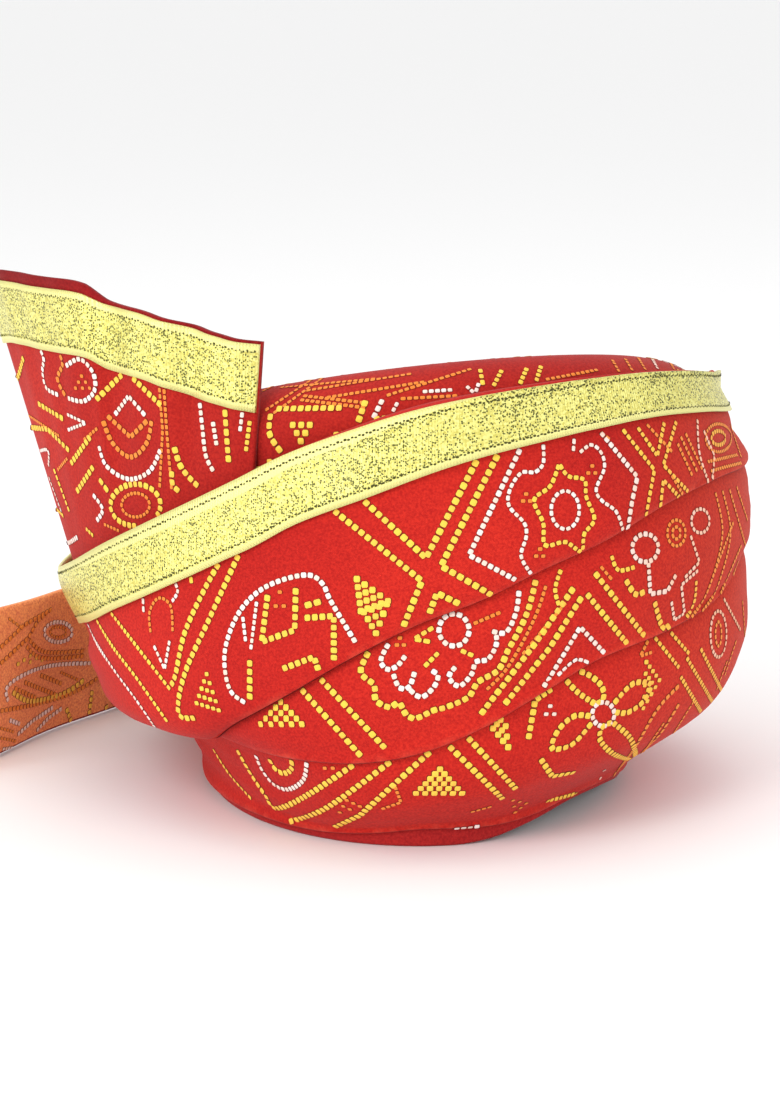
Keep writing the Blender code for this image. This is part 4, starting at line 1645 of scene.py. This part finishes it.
RED_FADE = (0.095, 0.16, 0.5)
red = cotton("tie_dyed_cotton", (0.42, 0.009, 0.007), (0.54, 0.017, 0.010), (0.57, 0.050, 0.016), RED_FADE)
# painted shade: the crown and the fan take a darker copy of the wraps' red
shaded_crown_red = cotton(
    "shaded_crown_cotton", (0.35, 0.009, 0.007), (0.46, 0.017, 0.010), (0.43, 0.04, 0.012),
    RED_FADE, worn_and_shaded_fold=False,
)
# tail's red: paler, more orange towards the free end; partly faded cloth, partly painted light on a shaded
# tail
faded_and_lit = cotton(
    "faded_and_lit_cotton", (0.50, 0.012, 0.009), (0.66, 0.030, 0.016), (0.95, 0.30, 0.12),
    (-0.03, -0.11, 1.0), worn_and_shaded_fold=False,
)
# dark red: the fan's selvedge, and painted shade along the tail's lower edge
selvedge_and_edge_shade_red = cotton(
    "selvedge_and_edge_shade_cotton", (0.20, 0.005, 0.006), (0.28, 0.007, 0.008), (0.3, 0.01, 0.01),
    RED_FADE, worn_and_shaded_fold=False,
)
lining_cotton = cotton(
    "lining_cotton", (0.34, 0.010, 0.012), (0.42, 0.016, 0.015), (0.40, 0.02, 0.02), RED_FADE, 0.0006,
    worn_and_shaded_fold=False,
)
dots_red = tied_dots("tied_dots", (0.09, 0.15), 0.65)
dots_faded = tied_dots("faded_dots", (0.0, -0.10), 0.15)
lace_gold = gold_lace()
thread = dark_thread()

wraps = [wrap(index, red) for index in range(len(WRAPS))]
crown_piece = crown(shaded_crown_red, lining_cotton)
band_piece = rim_band(lining_cotton)
lace_piece = wrap_lace(lace_gold)
fan_piece = fan(shaded_crown_red, selvedge_and_edge_shade_red)
fan_lace_piece = fan_lace(lace_gold)
tail_piece = tail(faded_and_lit, selvedge_and_edge_shade_red)

cloths = Cloths([*wraps, crown_piece, band_piece, lace_piece, fan_piece, fan_lace_piece, tail_piece])
body = Cloths([*wraps, crown_piece, band_piece, lace_piece])
crown_only = Cloths([crown_piece])


def seen(name):
    """Pixels of the photograph on this piece."""

    def on_cloth(x, y):
        return cloths.first(CAMERA_PLACE, pixel_ray(x, y), name)

    return on_cloth


def turned_back(index):
    """The same print mirrored to the back, at the same share of the height that shows of the wrap."""
    name, span = WRAPS[index][:2]
    front = seen(name + "_cloth")
    turns = np.linspace(-180, 180, 721)
    low, high = span(turns)
    top = WRAPS[index + 1][1](turns)[0] if index < UPPER else high - lace_drop(turns)

    def on_cloth(x, y):
        spot = front(x, y)
        if spot is None:
            return None
        centred = spot[0] - Vector(HEAD)
        azimuth = math.degrees(math.atan2(centred.y / BODY_HALF_LENGTH, centred.x / BODY_HALF_WIDTH))
        here, there = ([np.interp(a, turns, edge) for edge in (low, top)] for a in (azimuth, -azimuth))
        height = there[0] + (centred.z - here[0]) * (there[1] - there[0]) / (here[1] - here[0])
        turn = math.radians(-azimuth)
        outside = Vector(HEAD) + Vector((math.cos(turn) * 0.3, math.sin(turn) * 0.3, height))
        return body.first(outside, Vector((-math.cos(turn), -math.sin(turn), 0)), name + "_cloth")

    return on_cloth


def unseen(on_cloth, name):
    """Only the places that the photograph doesn't show, where its own strokes aren't laid."""

    def on_rest(x, y):
        spot = on_cloth(x, y)
        if spot is None:
            return None
        shown = cloths.first(CAMERA_PLACE, (spot[0] - CAMERA_PLACE).normalized(), name)
        return None if shown and (shown[0] - spot[0]).length < 0.002 else spot

    return on_rest


def fan_back(x, y):
    """The print shows through on the back of the fan."""
    spot = seen("fan_cloth")(x, y)
    if spot is None:
        return None
    ray = pixel_ray(x, y)
    return cloths.first(spot[0] + ray * 0.03, -ray, "fan_cloth")


def on_crown_top(across, along):
    """Pixels of a lattice cell on the crown seen from above, this far from its middle."""

    def on_cloth(x, y):
        above = Vector(HEAD) + Vector(((x + across) * PIXEL, (y + along) * PIXEL, 0.3))
        spot = body.first(above, Vector((0, 0, -1)), "crown_cloth")
        return spot if spot and spot[1].z > 0.8 else None

    return on_cloth


def on_crown_wall(repeat):
    """Pixels of one repeat round the crown's wall, below its shoulder."""

    def on_cloth(x, y):
        azimuth = (x / 90 + repeat) * 360 / CROWN_WALL_REPEATS
        turn = math.radians(azimuth)
        height = float(crown_height(azimuth)) - 0.008 - y * PIXEL
        outside = Vector(HEAD) + Vector((math.cos(turn) * 0.3, math.sin(turn) * 0.3, height))
        return crown_only.first(outside, Vector((-math.cos(turn), -math.sin(turn), 0)), "crown_cloth")

    return on_cloth


def on_tail(side, shift):
    """Pixels of the flat tail on one of its faces, shifted towards the root by whole repeats."""
    along = np.linspace(0, 1, 241)[:, None]
    shares = np.linspace(0, 1, 25)
    spots = tail_place(along, shares, side)
    near, up = np.gradient(spots, axis=0), np.gradient(spots, axis=1)
    normals = np.cross(near, up)
    outwards = spots - [HEAD[0], HEAD[1], 0.0]
    outwards[..., 2] = 0.0
    facing = np.sign(np.sum(normals * outwards, axis=2, keepdims=True)) * side
    normals = normals * facing / np.linalg.norm(normals, axis=2, keepdims=True)

    def on_cloth(x, y):
        row = (1.0 - (x + shift) * PIXEL / TAIL_LENGTH) * 240
        column = y * PIXEL / TAIL_WIDTH * 24
        if not (72 < row < 237 and 1.0 < column < 23.0):
            return None
        a, b = int(row), int(column)
        s, t = row - a, column - b
        shares_of = (
            (a, b, (1 - s) * (1 - t)),
            (a + 1, b, s * (1 - t)),
            (a, b + 1, (1 - s) * t),
            (a + 1, b + 1, s * t),
        )
        spot, normal = (sum(table[i, j] * share for i, j, share in shares_of) for table in (spots, normals))
        return Vector(spot), Vector(normal).normalized()

    return on_cloth


tile = dot_tile()
dot_tree = laying_tree("lay dots", tile, dots_red)
faded_tree = laying_tree("lay faded dots", tile, dots_faded)
prints = {}
for index, strokes in enumerate((LOWER_PRINT, MIDDLE_PRINT, UPPER_PRINT)):
    name = WRAPS[index][0]
    dots = dots_on(strokes, seen(name + "_cloth")) + dots_on(strokes, turned_back(index))
    prints[name] = laid(name + "_print", dot_tree, dots, DOT_RISE, Size=1.0, Seed=11 + index)
dots = dots_on(CROWN_PRINT, seen("crown_cloth"))
for repeat in range(CROWN_WALL_REPEATS):
    dots += dots_on(CROWN_WALL_PRINT, unseen(on_crown_wall(repeat), "crown_cloth"))
for across in range(-1, 2):
    for along in range(-1, 2):
        shift = (across * LATTICE_STEP[0], along * LATTICE_STEP[1])
        dots += dots_on(LATTICE_CELL, unseen(on_crown_top(*shift), "crown_cloth"))
prints["crown"] = laid("crown_print", dot_tree, dots, DOT_RISE, Size=1.0, Seed=21)
dots = dots_on(FAN_PRINT, seen("fan_cloth")) + dots_on(FAN_PRINT, fan_back)
prints["fan"] = laid("fan_print", dot_tree, dots, DOT_RISE, Size=1.0, Seed=22)
dots = dots_on(TAIL_END_PRINT, seen("tail_cloth"))
for repeat in range(4):
    for side in (1, -1):
        dots += dots_on(TAIL_PRINT, unseen(on_tail(side, repeat * TAIL_REPEAT), "tail_cloth"))
prints["tail"] = laid("tail_print", faded_tree, dots, DOT_RISE, Size=0.97, Seed=23)


def stitch_tile():
    """One dark stitch, a low pointed dash along x."""
    points = [(-0.5, 0, 0), (-0.3, 0.45, 0), (0.3, 0.45, 0), (0.5, 0, 0), (0.3, -0.45, 0), (-0.3, -0.45, 0)]
    points += [(-0.2, 0, 0.14), (0.2, 0, 0.14)]
    faces = [[0, 6, 1], [1, 6, 7, 2], [2, 7, 3], [3, 7, 4], [4, 7, 6, 5], [5, 6, 0]]
    mesh = bpy.data.meshes.new("stitch tile")
    mesh.from_pydata(points, [], [face[::-1] for face in faces])
    return bpy.data.objects.new("stitch tile", mesh)


def stitch_row(points, nudge):
    """Stitches along a border line, each second one nudged aside."""
    stretch = []
    for point in points:
        spot = Vector(point)
        out = spot - Vector((HEAD[0], HEAD[1], spot.z))
        stretch.append((spot, out.normalized()))
    dots = spread_dots(stretch, 0.0014, (0.0, 0.0010))
    return [(spot + Vector((0, 0, nudge * (at % 2))), *rest) for at, (spot, *rest) in enumerate(dots)]


def wrap_lace_border(share):
    azimuths = np.linspace(-180, 180, 1440)
    return lace_place(azimuths, share + 0 * azimuths, LACE_ROOM + LACE_THICKNESS)


def fan_lace_border(share):
    across = np.linspace(0.005, 0.995, 500)
    level = fan_lace_level(across, share)
    face = FAN_WALL / 2 + GAP + LACE_THICKNESS
    return place(fan_azimuth(across), level, fan_standoff(across, level) + face)


stitch_tree = laying_tree("lay stitches", stitch_tile(), thread)
stitches = {}
for name, border in (("wrap_lace", wrap_lace_border), ("fan_lace", fan_lace_border)):
    rows = stitch_row(border(0.12), 0.0004) + stitch_row(border(0.88), 0.0004)
    stitches[name] = laid(
        name + "_stitching", stitch_tree, rows, STITCH_RISE, Size=0.95, Size_spread=0.35, Seed=31
    )

# ---- put each piece on the root body, and hide the solid it stands for

for piece, node, slot in (
    (wraps[0], "lower_wrap", "printed_cotton"),
    (wraps[1], "middle_wrap", "printed_cotton"),
    (wraps[2], "upper_wrap", "printed_cotton"),
    (crown_piece, "crown", "printed_cotton"),
    (band_piece, "rim_band", "plain_cotton"),
    (lace_piece, "wrap_lace", "gold_lace"),
    (fan_piece, "fan", "printed_cotton"),
    (fan_lace_piece, "fan_lace", "gold_lace"),
    (tail_piece, "tail", "printed_cotton"),
):
    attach(piece, "root")
    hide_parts(node)
for piece in prints.values():
    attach(piece, "root")
for piece in stitches.values():
    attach(piece, "root")

# ---- camera, floor and light

camera = bpy.data.cameras.new("camera")
camera.sensor_fit = "VERTICAL"
camera.sensor_height = 24.0
camera.lens = 24.0 * CAMERA_DISTANCE / (PHOTO_HEIGHT * PIXEL)
camera_object = in_scene("camera", camera)
camera_object.location = CAMERA_PLACE
camera_object.rotation_euler = (math.pi / 2 - CAMERA_ELEVATION, 0, 0)
bpy.context.scene.camera = camera_object

floor_mesh = bpy.data.meshes.new("floor")
floor_mesh.from_pydata([(-30, -30, 0), (30, -30, 0), (30, 30, 0), (-30, 30, 0)], [], [[0, 1, 2, 3]])
floor = in_scene("floor", floor_mesh)
floor_paint, _, floor_shader = material("pale_floor", 0.9)
floor_shader.inputs["Base Color"].default_value = (0.93, 0.93, 0.93, 1.0)
floor_mesh.materials.append(floor_paint)


def soft_light(name, at, size, power):
    light = bpy.data.lights.new(name, "AREA")
    light.shape = "DISK"
    light.size = size
    light.energy = power
    made = in_scene(name, light)
    made.location = at
    made.rotation_euler = (AIM - Vector(at)).to_track_quat("-Z", "Y").to_euler()


for light in (
    ("key", (-0.9, -1.5, 1.3), 0.9, 11),
    ("fill", (1.4, -1.2, 0.8), 1.2, 5),
    ("top", (0.1, 0.3, 1.8), 1.4, 5),
    ("left", (-1.3, -0.7, 0.35), 0.6, 4),
    ("glint", (-0.72, -1.35, 0.16), 0.16, 2.0),
):
    soft_light(*light)
sky = bpy.data.worlds.new("studio")
sky.use_nodes = True
sky.node_tree.nodes["Background"].inputs[0].default_value = (1.0, 1.0, 1.0, 1.0)
sky.node_tree.nodes["Background"].inputs[1].default_value = 0.97
bpy.context.scene.world = sky
bpy.context.scene.view_settings.view_transform = "Standard"
